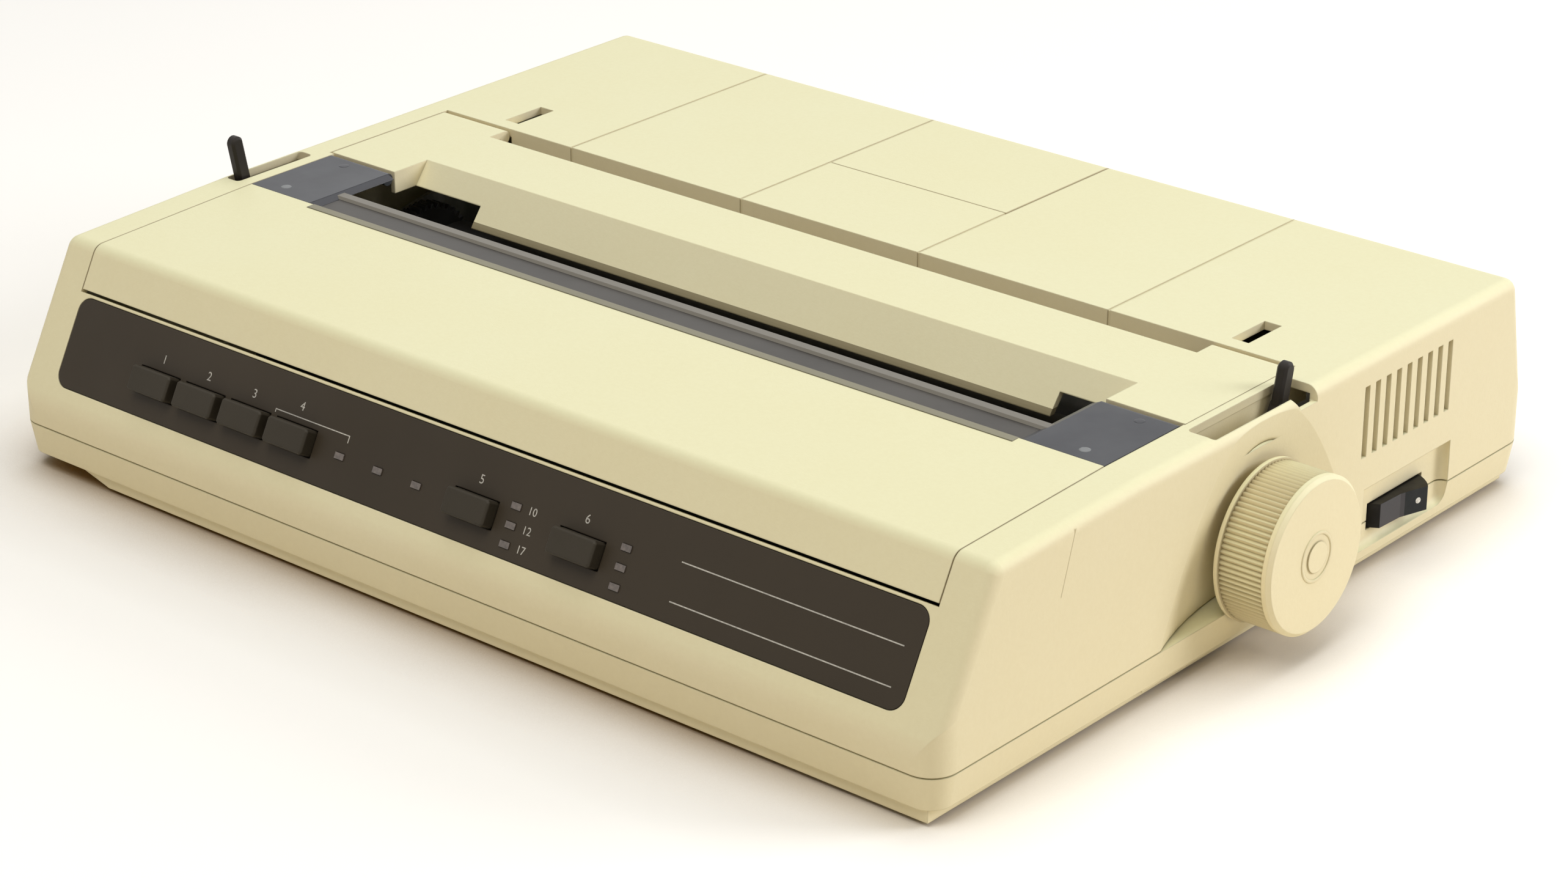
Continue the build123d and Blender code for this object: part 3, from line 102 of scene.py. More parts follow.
# --- Finishes --------------------------------------------------------------------------------
def srgb(red, green, blue):
    """Linear colour of an sRGB one in 0 to 255."""
    parts = [value / 255 for value in (red, green, blue)]
    return tuple(
        part / 12.92 if part <= 0.04045 else ((part + 0.055) / 1.055) ** 2.4 for part in parts
    )


def scaled(color, share, lift=0.0):
    """A colour made darker or lighter."""
    return tuple(min(value * share + lift, 1) for value in color)


class Amount:
    """A number on a node tree that adds its Math nodes as it is used in an expression."""

    def __init__(self, owner, socket):
        self.owner = owner
        self.socket = socket

    def _with(self, operation, first, second):
        return self.owner.number("ShaderNodeMath", {"operation": operation}, {0: first, 1: second})

    def __add__(self, other):
        return self._with("ADD", self, other)

    def __radd__(self, other):
        return self._with("ADD", other, self)

    def __sub__(self, other):
        return self._with("SUBTRACT", self, other)

    def __rsub__(self, other):
        return self._with("SUBTRACT", other, self)

    def __mul__(self, other):
        return self._with("MULTIPLY", self, other)

    def __rmul__(self, other):
        return self._with("MULTIPLY", other, self)

    def __gt__(self, other):
        return self._with("GREATER_THAN", self, other)

    def __lt__(self, other):
        return self._with("LESS_THAN", self, other)

    def __abs__(self):
        return self._with("ABSOLUTE", self, 0.0)


class NodeTree:
    """A node tree of a material or of the world, filled node by node."""

    def __init__(self, tree):
        self.tree = tree

    def node(self, kind, settings, inputs):
        """A node with its settings made first, then its sockets filled or linked."""
        made = self.tree.nodes.new(kind)
        for name, value in settings.items():
            if name == "stops":
                ramp = made.color_ramp
                while len(ramp.elements) < len(value):
                    ramp.elements.new(0.5)
                for element, (place, shade) in zip(ramp.elements, value):
                    element.position = place
                    element.color = (shade, shade, shade, 1)
            else:
                setattr(made, name, value)
        for name, value in inputs.items():
            if isinstance(value, Amount):
                value = value.socket
            if isinstance(value, bpy.types.NodeSocket):
                self.tree.links.new(value, made.inputs[name])
            else:
                made.inputs[name].default_value = value
        return made

    def number(self, kind, settings, inputs, output=0):
        """The same, wrapped as an amount."""
        return Amount(self, self.node(kind, settings, inputs).outputs[output])

    def seen_by(self, *kinds):
        """1 for rays of these kinds, and 0 for all others."""
        path = self.node("ShaderNodeLightPath", {}, {})
        first, *others = [Amount(self, path.outputs[f"Is {kind} Ray"]) for kind in kinds]
        return sum(others, first)


class Finish(NodeTree):
    """One material of the machine or of the room."""

    def __init__(self, name, color, roughness, **fixed):
        self.material = bpy.data.materials.new(name)
        self.material.use_nodes = True
        super().__init__(self.material.node_tree)
        self.shader = self.tree.nodes["Principled BSDF"]
        self.shader.inputs["Base Color"].default_value = (*color, 1)
        self.shader.inputs["Roughness"].default_value = roughness
        for socket, value in fixed.items():
            self.shader.inputs[socket.replace("_", " ")].default_value = value

    def place(self):
        """The point on the piece that is shaded, in metres, which moves with the piece."""
        return self.node("ShaderNodeTexCoord", {}, {}).outputs["Object"]

    def along(self, axis):
        """That point's distance along an axis of the row frame, in metres."""
        return self.number("ShaderNodeSeparateXYZ", {}, {0: self.place()}, axis)

    def facing(self, axis):
        """How far the piece's own surface faces along an axis, from -1 to 1."""
        normal = self.node("ShaderNodeTexCoord", {}, {}).outputs["Normal"]
        return self.number("ShaderNodeSeparateXYZ", {}, {0: normal}, axis)

    def noise(self, scale, detail=2.0, stretch=(1, 1, 1), rough=0.5):
        """Smooth noise from 0 to 1, its scale in cells a metre."""
        stretched = self.node(
            "ShaderNodeVectorMath", {"operation": "MULTIPLY"}, {0: self.place(), 1: stretch}
        )
        return self.number(
            "ShaderNodeTexNoise",
            {},
            {"Vector": stretched.outputs[0], "Scale": scale, "Detail": detail, "Roughness": rough},
        )

    def ramp(self, amount, *stops):
        """An amount bent through (place, value) stops."""
        return self.number("ShaderNodeValToRGB", {"stops": stops}, {"Fac": amount})

    def mix(self, factor, first, second, blend="MIX"):
        """Colour between two others, or their product."""
        sides = [(*side, 1) if isinstance(side, tuple) else side for side in (first, second)]
        made = self.node(
            "ShaderNodeMix",
            {"data_type": "RGBA", "blend_type": blend},
            {0: factor, 6: sides[0], 7: sides[1]},
        )
        return made.outputs[2]

    def crevice(self, reach):
        """Near 1 in the open and lower in narrow gaps and corners."""
        settings = {"samples": 6, "only_local": False}
        return self.number("ShaderNodeAmbientOcclusion", settings, {"Distance": reach}, "AO")

    def color(self, socket):
        self.tree.links.new(socket, self.shader.inputs["Base Color"])

    def roughness(self, amount):
        self.tree.links.new(amount.socket, self.shader.inputs["Roughness"])

    def bump(self, height, depth, strength=1.0, rounded=0.0):
        """Relief of a height amount, over edges rounded by a radius."""
        inputs = {"Height": height, "Distance": depth, "Strength": strength}
        if rounded:
            soft = self.node("ShaderNodeBevel", {"samples": 4}, {"Radius": rounded})
            inputs["Normal"] = soft.outputs[0]
        made = self.node("ShaderNodeBump", {}, inputs)
        self.tree.links.new(made.outputs[0], self.shader.inputs["Normal"])


def moulded(name, color, roughness, grain=1400, depth=0.00006, corner_shade=0.25, rounded=0.0004, **fixed):
    """Moulded plastic: fine spark-eroded grain, uneven sheen and painted shade in its corners."""
    finish = Finish(name, color, roughness, **fixed)
    tone = finish.ramp(finish.noise(14, 4), (0.3, 0), (0.7, 1))
    body = finish.mix(tone, scaled(color, 0.90), scaled(color, 1.06, 0.003))
    # Painted shade: corners and narrow gaps darken to about half the colour.
    gap = finish.ramp(finish.crevice(0.004), (0.25, 1), (0.8, 0))
    finish.color(finish.mix(gap * corner_shade, body, scaled(color, 0.55)))
    finish.roughness(finish.noise(60, 3) * 0.16 + (roughness - 0.08))
    finish.bump(finish.noise(grain, 2), depth, 0.5, rounded)
    return finish.material


def cream(name, soil_and_shade, reach, no_darkening_above=0.75, flank_light_share=1.0, shade_below_z=0.0):
    """Aged cream plastic with painted light: tops lighter and upright faces warmer, dirt and painted
    shade in its gaps and grooves, and painted shade below a lip.
    """
    finish = Finish(name, CREAM_TOP_LIT, 0.5, Specular_IOR_Level=0.25)
    # Painted light: top faces get the lit top colour, upright faces the shaded, warmer flank colour,
    # scaled by a lightening share.
    painted_top_light = finish.ramp(finish.facing(2), (0.25, 0), (0.92, 1))
    body = finish.mix(painted_top_light, scaled(CREAM_FLANK_SHADED, flank_light_share), CREAM_TOP_LIT)
    # Painted shade: below the given height the colour turns olive brown.
    if shade_below_z:
        body = finish.mix(finish.along(2) < shade_below_z * MM, body, (0.30, 0.26, 0.16))
    patch = finish.ramp(finish.noise(9, 5, rough=0.6), (0.35, 0), (0.68, 1))
    yellowed = finish.mix(patch * 0.5, body, (0.985, 0.965, 0.915), "MULTIPLY")
    fine = finish.ramp(finish.noise(700, 3), (0.35, 0), (0.65, 1))
    grained = finish.mix(fine * 0.35, yellowed, (0.965, 0.955, 0.93), "MULTIPLY")
    # Dirt and painted shade: narrow gaps and grooves darken towards brown.
    gap = finish.ramp(finish.crevice(reach), (no_darkening_above * 0.3, 1), (no_darkening_above, 0))
    finish.color(finish.mix(gap * soil_and_shade, grained, (0.36, 0.28, 0.14)))
    finish.roughness(finish.noise(45, 3) * 0.14 + 0.46)
    finish.bump(finish.noise(1500, 2), 0.00007, 0.4, 0.0005)
    return finish.material


def smoked():
    """Smoked clear plastic: blue grey end plates, browner strip between them with a painted highlight
    on its rear rib, scuffed and hazy.
    """
    finish = Finish(
        "smoked_plastic", (0.05, 0.055, 0.065), 0.3, Alpha=0.95, Specular_IOR_Level=0.35
    )
    haze = finish.ramp(finish.noise(22, 4, rough=0.6), (0.35, 0), (0.75, 1))
    plate = finish.mix(haze * 0.8, (0.034, 0.036, 0.044), (0.090, 0.096, 0.108))
    strip = finish.mix(haze * 0.7, (0.036, 0.031, 0.024), (0.080, 0.073, 0.062))
    # Painted highlight: the strip behind its rib is painted much lighter, as the light catches it.
    rib_highlight = finish.along(1) > (CASE_Y + STRIP_RIB_Y) * MM
    strip = finish.mix(rib_highlight, strip, (0.20, 0.185, 0.155))
    middle = abs(finish.along(0) - CASE_X * MM) < WINDOW_X * MM
    body = finish.mix(middle, plate, strip)
    scuff = finish.ramp(finish.noise(55, 5, rough=0.6), (0.48, 0), (0.80, 1))
    finish.color(finish.mix(scuff * 0.25, body, (0.19, 0.19, 0.19)))
    finish.roughness(scuff * 0.2 + 0.3)
    finish.bump(finish.noise(500, 2), 0.00003, 0.3, 0.0003)
    return finish.material


def metal(name, color, roughness, brushed=(1, 1, 1), metallic=1.0, spangle=0.0):
    """Sheet or turned metal with fine brushing or a zinc spangle."""
    finish = Finish(name, color, roughness, Metallic=metallic)
    streak = finish.noise(260, 4, brushed)
    darker = scaled(color, 0.72)
    body = finish.mix(finish.ramp(streak, (0.3, 0), (0.7, 1)), darker, color)
    if spangle:
        cell = finish.number("ShaderNodeTexVoronoi", {}, {"Vector": finish.place(), "Scale": 160})
        body = finish.mix(finish.ramp(cell, (0.2, 0), (0.9, 1)) * spangle, body, darker)
    finish.color(body)
    finish.roughness(streak * 0.2 + (roughness - 0.1))
    finish.bump(streak, 0.00003, 0.35, 0.0002)
    return finish.material


def rubber(name, color, roughness):
    """Ground rubber: dull, with fine grit and pale rubbed patches."""
    finish = Finish(name, color, roughness)
    rubbed = finish.ramp(finish.noise(35, 5, (0.4, 1, 1)), (0.45, 0), (0.75, 1))
    finish.color(finish.mix(rubbed * 0.5, color, scaled(color, 2.2, 0.01)))
    finish.roughness(finish.noise(90, 3) * 0.2 + (roughness - 0.1))
    finish.bump(finish.noise(1800, 2), 0.00005, 0.5, 0.0003)
    return finish.material


def laminate():
    """Green circuit board with a pattern of fine tracks under the resist."""
    finish = Finish("board_laminate", (0.03, 0.12, 0.05), 0.35)
    tracks = {
        "Vector": finish.place(),
        "Scale": 95,
        "Mortar Size": 0.09,
        "Brick Width": 1.9,
        "Row Height": 0.21,
    }
    lines = finish.number("ShaderNodeTexBrick", {"offset": 0.37}, tracks, "Fac")
    finish.color(finish.mix(lines * 0.75, (0.026, 0.11, 0.045), (0.06, 0.21, 0.075)))
    finish.roughness(finish.noise(80, 2) * 0.15 + 0.28)
    finish.bump(lines, 0.00004, 0.6, 0.0002)
    return finish.material


def lamp_lens():
    """Unlit lamp lens: dull pinkish clear plastic."""
    finish = Finish("lamp_lens", (0.16, 0.12, 0.11), 0.35, Coat_Weight=0.3)
    cloud = finish.ramp(finish.noise(900, 2), (0.3, 0), (0.7, 1))
    finish.color(finish.mix(cloud, (0.085, 0.070, 0.062), (0.17, 0.14, 0.125)))
    finish.bump(finish.noise(1500, 1), 0.00003, 0.4, 0.0002)
    return finish.material


def print_ink(name, color):
    """Screen-printed ink with thin spots."""
    finish = Finish(name, color, 0.5)
    thin = finish.ramp(finish.noise(1600, 2), (0.35, 0), (0.6, 1))
    finish.color(finish.mix(thin, scaled(color, 0.72), color))
    finish.bump(finish.noise(2200, 1), 0.00002, 0.3)
    return finish.material


def rocker_plastic():
    """Switch rocker, painted light and shade: its front half lighter as it catches the light, its
    rear half darker, and its faces that do not look outward nearly black.
    """
    finish = Finish("rocker_plastic", (0.02, 0.02, 0.022), 0.4, Specular_IOR_Level=0.18)
    # Painted light and shade: the two tilted halves are lit and shaded copies of one black plastic.
    front = finish.along(1) < (CASE_Y + ROCKER_Y) * MM
    outward = finish.facing(0) > 0.8
    face = finish.mix(front, (0.012, 0.014, 0.016), (0.058, 0.055, 0.062))
    body = finish.mix(outward, (0.006, 0.005, 0.004), face)
    rubbed = finish.ramp(finish.noise(260, 3), (0.4, 0), (0.8, 1))
    finish.color(finish.mix(rubbed * 0.12, body, (0.08, 0.08, 0.08)))
    finish.roughness(finish.noise(90, 3) * 0.16 + 0.34)
    finish.bump(finish.noise(1600, 2), 0.00005, 0.4, 0.0003)
    return finish.material


def ink_cloth():
    """Woven nylon soaked in ink: fine threads both ways."""
    finish = Finish("ink_cloth", (0.012, 0.012, 0.016), 0.7)
    weave = {"Vector": finish.place(), "Scale": 2600, "Mortar Size": 0.12}
    lines = finish.number("ShaderNodeTexBrick", {}, weave, "Fac")
    finish.color(finish.mix(lines, (0.014, 0.013, 0.019), (0.005, 0.005, 0.007)))
    finish.bump(lines, 0.00004, 0.5)
    return finish.material


# Painted light: the cream as it looks lit on top faces and on upright faces.
CREAM_TOP_LIT = srgb(238, 236, 200)
CREAM_FLANK_SHADED = srgb(235, 225, 193)
# One finish for each material slot of the record.
finishes = {
    "case": cream("cream_case", 0.35, 0.003),
    "panel": moulded(
        "panel_film", (0.040, 0.030, 0.019), 0.5, 900, 0.00003, 0.1, Specular_IOR_Level=0.22
    ),
    "buttons": moulded(
        "key_plastic",
        (0.034, 0.027, 0.017),
        0.55,
        grain=1800,
        corner_shade=0.3,
        rounded=0.0006,
        Specular_IOR_Level=0.25,
    ),
    "smoke": smoked(),
    "lens": lamp_lens(),
    "feet": rubber("foot_rubber", (0.03, 0.03, 0.03), 0.8),
    "steel": metal("zinc_steel", (0.52, 0.52, 0.50), 0.42, metallic=0.85, spangle=0.5),
    "bright_steel": metal("bright_steel", (0.66, 0.66, 0.65), 0.28, (0.1, 3, 3)),
    "board": laminate(),
    "nylon": moulded("white_nylon", (0.72, 0.71, 0.64), 0.45, 1200, 0.00003),
    "nylon_dark": moulded("black_acetal", (0.05, 0.05, 0.05), 0.35, 1200, 0.00003),
    "motor_case": metal("motor_can", (0.10, 0.10, 0.11), 0.4, metallic=0.5),
    "platen_rubber": rubber("platen_rubber", (0.022, 0.022, 0.024), 0.55),
    "roller_rubber": rubber("roller_rubber", (0.03, 0.03, 0.03), 0.65),
    "black_plastic": moulded(
        "black_plastic", (0.022, 0.018, 0.015), 0.42, 1100, 0.00006, 0.2, Specular_IOR_Level=0.2
    ),
    "head_metal": metal("head_fins", (0.16, 0.16, 0.17), 0.45, metallic=0.8),
    "cartridge": moulded("cartridge_plastic", (0.03, 0.03, 0.035), 0.4, 1300, 0.00005),
    "components": moulded("component_bodies", (0.03, 0.03, 0.034), 0.4, 1300, 0.00003),
    "transformer": metal("laminations", (0.16, 0.13, 0.09), 0.5, (1, 1, 14), 0.4),
    "connector": moulded("connector_blue", (0.05, 0.09, 0.22), 0.4, 1300, 0.00003),
}
# Pieces that look unlike the rest of their slot.
OWN_FINISHES = {
    # Knob: strong painted shade in its rib grooves, and its upright faces painted a little lighter.
    "platen_knob": cream("cream_knob", 0.9, 0.003, no_darkening_above=0.95, flank_light_share=1.06),
    # Separator: its upright faces painted lighter, as lit, and painted shade below its lip.
    "paper_separator": cream(
        "cream_separator", 0.35, 0.003, flank_light_share=1.14, shade_below_z=SEPARATOR_LIP_Z
    ),
    "power_rocker": rocker_plastic(),
    "platen_gear": finishes["nylon_dark"],
    "idler_gear": finishes["nylon_dark"],
}
INK_WHITE = print_ink("panel_ink", (0.55, 0.53, 0.49))
DOT_WHITE = print_ink("dot_ink", (0.80, 0.79, 0.76))
# Painted highlight: pale finish for the front moulding marks of the window, which catch the light.
MARK_HIGHLIGHT = moulded("mark_highlight", (0.20, 0.21, 0.22), 0.5, 1800, 0.00008, 0.0)
# Painted shade: dark smoked finish for the rear moulding marks and the window bevels, which lie in
# shade.
SMOKE_SHADE = moulded("smoke_shade", (0.022, 0.023, 0.030), 0.35, 1300, 0.00003, 0.0)
FLANGE_SMOKE = moulded(
    "flange_smoke", (0.26, 0.245, 0.175), 0.45, 1300, 0.00003, 0.0, Specular_IOR_Level=0.3
)
CONTACT_METAL = metal("gilt_contacts", (0.62, 0.45, 0.18), 0.3)

slot_of = {part["node"]: part["material_slot"] for part in frame["record"]["subparts"]}
for name, thing in frame["nodes"].items():
    finish = OWN_FINISHES.get(name, finishes[slot_of[name]])
    if not thing.data.materials:
        thing.data.materials.append(finish)
    for place in range(len(thing.data.materials)):
        thing.material_slots[place].material = finish


# --- Shapes of the added pieces --------------------------------------------------------------
def piece(name, mesh_maker, body, material):
    """A new piece from a mesh maker, riding on a body."""
    shape = bmesh.new()
    mesh_maker(shape)
    bmesh.ops.remove_doubles(shape, verts=shape.verts, dist=1e-7)
    bmesh.ops.recalc_face_normals(shape, faces=shape.faces)
    mesh = bpy.data.meshes.new(name)
    shape.to_mesh(mesh)
    shape.free()
    thing = bpy.data.objects.new(name, mesh)
    bpy.context.scene.collection.objects.link(thing)
    mesh.materials.append(material)
    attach(thing, body)
    return thing


def prism(shape, outline, ends, place):
    """A straight bar: an outline of (u, v) points between two ends, each point set by place."""
    rings = [[shape.verts.new(place(u, v, end)) for u, v in outline] for end in ends]
    shape.faces.new(rings[0])
    shape.faces.new(rings[1])
    for here in range(len(outline)):
        there = (here + 1) % len(outline)
        shape.faces.new((rings[0][here], rings[0][there], rings[1][there], rings[1][here]))


def lathe(shape, profile, place, steps=48):
    """A closed (radius, height) profile turned about a middle, each point set by place."""
    rings = []
    for step in range(steps):
        angle = math.tau * step / steps
        cosine, sine = math.cos(angle), math.sin(angle)
        rings.append([shape.verts.new(place(r * cosine, r * sine, h)) for r, h in profile])
    for step in range(steps):
        near, far = rings[step], rings[(step + 1) % steps]
        for here in range(len(profile)):
            there = (here + 1) % len(profile)
            if profile[here][0] or profile[there][0]:
                corners = [near[here], near[there], far[there], far[here]]
                if not profile[there][0]:
                    corners.pop(2)
                if not profile[here][0]:
                    corners.pop(3 if len(corners) == 4 else 2)
                shape.faces.new(corners)


def dome(radius, rise):
    """Profile of a low round button of material."""
    return [(0, -rise), (radius, -rise), (radius, 0), (radius * 0.7, rise * 0.8), (0, rise)]


# --- Print on the panel ----------------------------------------------------------------------
INK_RISE = 0.04
RULE_HEIGHTS = (22.9, 12.3)
RULE_ENDS = (79.7, 152.3)
RULE_HALF = 0.17
BRACKET_LEFT = -70.9
BRACKET_RIGHT = -41.4
BRACKET_UP = 22.75
BRACKET_LINE = 0.3
CAP_HEIGHT = 0.72  # of the font's size


def stroke(shape, x, up):
    """A thin raised bar of print between two x and two slope bounds."""
    outline = [(x[0], up[0]), (x[1], up[0]), (x[1], up[1]), (x[0], up[1])]
    prism(shape, outline, (0.0, INK_RISE), on_panel)


def panel_lines(shape):
    """Two long rules at the right, and the bracket from the fourth key to its lamp."""
    for up in RULE_HEIGHTS:
        stroke(shape, RULE_ENDS, (up - RULE_HALF, up + RULE_HALF))
    stroke(shape, (BRACKET_LEFT, BRACKET_RIGHT), (BRACKET_UP, BRACKET_UP + BRACKET_LINE))
    stroke(shape, (BRACKET_RIGHT - BRACKET_LINE, BRACKET_RIGHT), (20.9, BRACKET_UP))
    stroke(shape, (BRACKET_LEFT, BRACKET_LEFT + BRACKET_LINE), (22.0, BRACKET_UP))


piece("panel_lines", panel_lines, "case", INK_WHITE)


def panel_text(name, words, x, up, height):
    """A printed figure on the panel, as a thin mesh."""
    curve = bpy.data.curves.new(name + "_curve", "FONT")
    curve.body = words
    curve.size = height * MM / CAP_HEIGHT
    curve.align_x = "CENTER"
    curve.align_y = "CENTER"
    curve.extrude = INK_RISE * MM / 2
    curve.resolution_u = 4
    holder = bpy.data.objects.new(name + "_holder", curve)
    mesh = bpy.data.meshes.new_from_object(holder)
    mesh.name = name
    bpy.data.objects.remove(holder)
    across = Vector((1, 0, 0))
    upward = Vector((0, math.sin(SLOPE), math.cos(SLOPE)))
    outward = across.cross(upward)
    turn = Matrix((across, upward, outward)).transposed().to_4x4()
    mesh.transform(Matrix.Translation(on_panel(x, up, INK_RISE / 2)) @ turn)
    mesh.materials.clear()
    mesh.materials.append(INK_WHITE)
    thing = bpy.data.objects.new(name, mesh)
    bpy.context.scene.collection.objects.link(thing)
    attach(thing, "case")


# Each figure: its text, its place across and up the slope, and its height.
FIGURES = (
    ("1", -117.5, 24.6, 2.6),
    ("2", -98.8, 24.6, 2.6),
    ("3", -80.1, 24.6, 2.6),
    ("4", -61.4, 26.0, 2.6),
    ("5", 8.1, 24.6, 2.6),
    ("6", 46.4, 24.6, 2.6),
    ("10", 28.0, 21.2, 2.3),
    ("12", 28.0, 15.9, 2.3),
    ("17", 28.0, 10.6, 2.3),
)
for number, (words, x, up, height) in enumerate(FIGURES, start=1):
    panel_text(f"panel_figure_{number}", words, x, up, height)


# --- Window ----------------------------------------------------------------------------------
MARK_X = 148.3
MARK_RADIUS = 1.6
MARK_RISE = 0.08
BEVEL_WIDTH = 2.6
FLANGE_WIDTH = 2.9
FLANGE_RISE = 0.12
FLANGE_END_X = WINDOW_X - 2.0


def window_marks(y):
    """Maker of two low moulding marks on the end plates, at one distance from the front."""

    def marks(shape):
        profile = dome(MARK_RADIUS, MARK_RISE)
        for x in (-MARK_X, MARK_X):
            lathe(shape, profile, lambda a, b, h: at(x + a, y + b, TOP_Z + h), 32)

    return marks


# Front marks painted pale as a highlight, rear marks painted dark as shade.
piece("window_marks_front", window_marks(88.8), "cover", MARK_HIGHLIGHT)
piece("window_marks_rear", window_marks(112.6), "cover", SMOKE_SHADE)


def window_bevels(shape):
    """The slopes from the raised end plates down to the strip, painted dark as shade."""
    for side in (-1, 1):
        outline = [
            (side * WINDOW_X, TOP_Z - SINK),
            (side * WINDOW_X, TOP_Z - STRIP_DROP),
            (side * (WINDOW_X - BEVEL_WIDTH), TOP_Z - STRIP_DROP),
        ]
        ends = (COVER_END_Y + 0.3, COVER_PIVOT_Y)
        prism(shape, outline, ends, lambda x, z, y: at(x, y, z))


piece("window_bevels", window_bevels, "cover", SMOKE_SHADE)


def window_flange(shape):
    """The strip's thin front flange, a film of smoked plastic over the cream cover."""
    front_y, rear_y = COVER_END_Y - FLANGE_WIDTH, COVER_END_Y + 0.1
    outline = [
        (front_y, TOP_Z - SINK),
        (rear_y, TOP_Z - SINK),
        (rear_y, TOP_Z + FLANGE_RISE),
        (front_y + 0.2, TOP_Z + FLANGE_RISE),
    ]
    prism(shape, outline, (-FLANGE_END_X, FLANGE_END_X), lambda y, z, x: at(x, y, z))


piece("window_flange", window_flange, "cover", FLANGE_SMOKE)


# --- Knob ------------------------------------------------------------------------------------
RING_PROFILE = [(6.2, -0.1), (7.3, -0.1), (7.15, 0.2), (6.9, 0.28), (6.6, 0.28), (6.35, 0.2)]


def knob_ring(shape):
    """Low raised ring round the boss on the knob's face."""

    def on_face(a, b, h):
        return at(KNOB_FACE_X + h, PLATEN_Y + a, PLATEN_Z + b)

    lathe(shape, RING_PROFILE, on_face, 72)


piece("knob_ring", knob_ring, "platen", finishes["case"])


# --- Switch ----------------------------------------------------------------------------------
DOT_RADIUS = 0.9
DOT_RISE = 0.05
DOT_FROM_RIDGE = 4.6


def rocker_dot(shape):
    """White dot on the rear half of the rocker, laid on its face."""
    rocker = frame["nodes"]["power_rocker"]
    start = at(FLANK_X + 20, ROCKER_Y + DOT_FROM_RIDGE, ROCKER_Z)
    _, spot, normal, _ = rocker.ray_cast(start, Vector((-1, 0, 0)))
    across = normal.cross(Vector((0, 0, 1))).normalized()
    upward = across.cross(normal)

    def on_rocker(a, b, h):
        return spot + (across * a + upward * b + normal * h) * MM

    lathe(shape, dome(DOT_RADIUS, DOT_RISE), on_rocker, 32)


piece("rocker_dot", rocker_dot, "rocker", DOT_WHITE)


# --- Flank and screws ------------------------------------------------------------------------
FLOW_TOP = (54.2, 64.0)
FLOW_FOOT = (48.8, 47.0)
FLOW_WIDTH = 0.25
FLOW_RISE = 0.05
CROSS_REACH = 2.0
CROSS_HALF = 0.45


def flow_line(shape):
    """Hair-thin moulding line down the right flank."""
    (top_y, top_z), (foot_y, foot_z) = FLOW_TOP, FLOW_FOOT
    outline = [FLOW_TOP, (top_y + FLOW_WIDTH, top_z), (foot_y + FLOW_WIDTH, foot_z), FLOW_FOOT]
    prism(shape, outline, (-SINK, FLOW_RISE), lambda y, z, h: at(FLANK_X + h, y, z))


piece("flow_line", flow_line, "case", finishes["case"])


def screw_cross_shade(shape):
    """Cross recesses of the case screws, seen from below, as raised black bars painted as the shade
    inside them.
    """
    for x, y in SCREW_PLACES:
        for wide, deep in ((CROSS_REACH, CROSS_HALF), (CROSS_HALF, CROSS_REACH)):
            outline = [(-wide, -deep), (wide, -deep), (wide, deep), (-wide, deep)]
            ends = (SCREW_HEAD_Z - 2 * SINK, SCREW_HEAD_Z + 0.1)
            prism(shape, outline, ends, lambda a, b, z: at(x + a, y + b, z))


piece("screw_cross_shade", screw_cross_shade, "case", finishes["black_plastic"])


# --- Interface port --------------------------------------------------------------------------
CONTACT_COUNT = 18  # in each row
CONTACT_PITCH = 2.16
CONTACT_WIDTH = 0.9
CONTACT_RISE = 0.15
CONTACT_ENDS = (PORT_REAR_Y - 8.5, PORT_REAR_Y - 0.3)
TONGUE_HALF = 1.3
LATCH_WIRE = 0.45
LATCH_ENDS = (24.6, 28.6)  # from the middle of the port
LATCH_HALF = 4.2


def port_contacts(shape):
    """Two rows of sprung contacts on the tongue of the interface port."""
    for place in range(CONTACT_COUNT):
        middle = PORT_X + (place - (CONTACT_COUNT - 1) / 2) * CONTACT_PITCH
        left, right = middle - CONTACT_WIDTH / 2, middle + CONTACT_WIDTH / 2
        outline = [(left, 0), (right, 0), (right, CONTACT_RISE), (left, CONTACT_RISE)]
        for side in (-1, 1):
            prism(
                shape,
                outline,
                CONTACT_ENDS,
                lambda x, out, y: at(x, y, PORT_Z + side * (TONGUE_HALF + out)),
            )


piece("port_contacts", port_contacts, "case", CONTACT_METAL)


def port_latch(name, side):
    """Sprung wire loop that holds a plug at one end of the port."""
    curve = bpy.data.curves.new(name, "CURVE")
    curve.dimensions = "3D"
    curve.bevel_depth = LATCH_WIRE * MM
    curve.bevel_resolution = 3
    curve.use_fill_caps = True
    spline = curve.splines.new("BEZIER")
    inner, outer = [PORT_X + side * end for end in LATCH_ENDS]
    route = [(inner, -LATCH_HALF), (outer, -LATCH_HALF), (outer, LATCH_HALF), (inner, LATCH_HALF)]
    spline.bezier_points.add(len(route) - 1)
    for point, (x, z) in zip(spline.bezier_points, route):
        point.co = at(x, PORT_REAR_Y + 0.4, PORT_Z + z)
        point.handle_left_type = "VECTOR"
        point.handle_right_type = "VECTOR"
    thing = bpy.data.objects.new(name, curve)
    bpy.context.scene.collection.objects.link(thing)
    curve.materials.append(finishes["bright_steel"])
    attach(thing, "case")


port_latch("port_latch_left", -1)
port_latch("port_latch_right", 1)


# --- Ribbon ----------------------------------------------------------------------------------
RIBBON_ROUTE = [
    (-34, CARTRIDGE_REAR_Y, 50.5),
    (-6, NOSE_Y, 33),
    (6, NOSE_Y, 33),
    (34, CARTRIDGE_REAR_Y, 50.5),
]
RIBBON_HALF_HEIGHT = 4.0
RIBBON_HALF_THICKNESS = 0.08


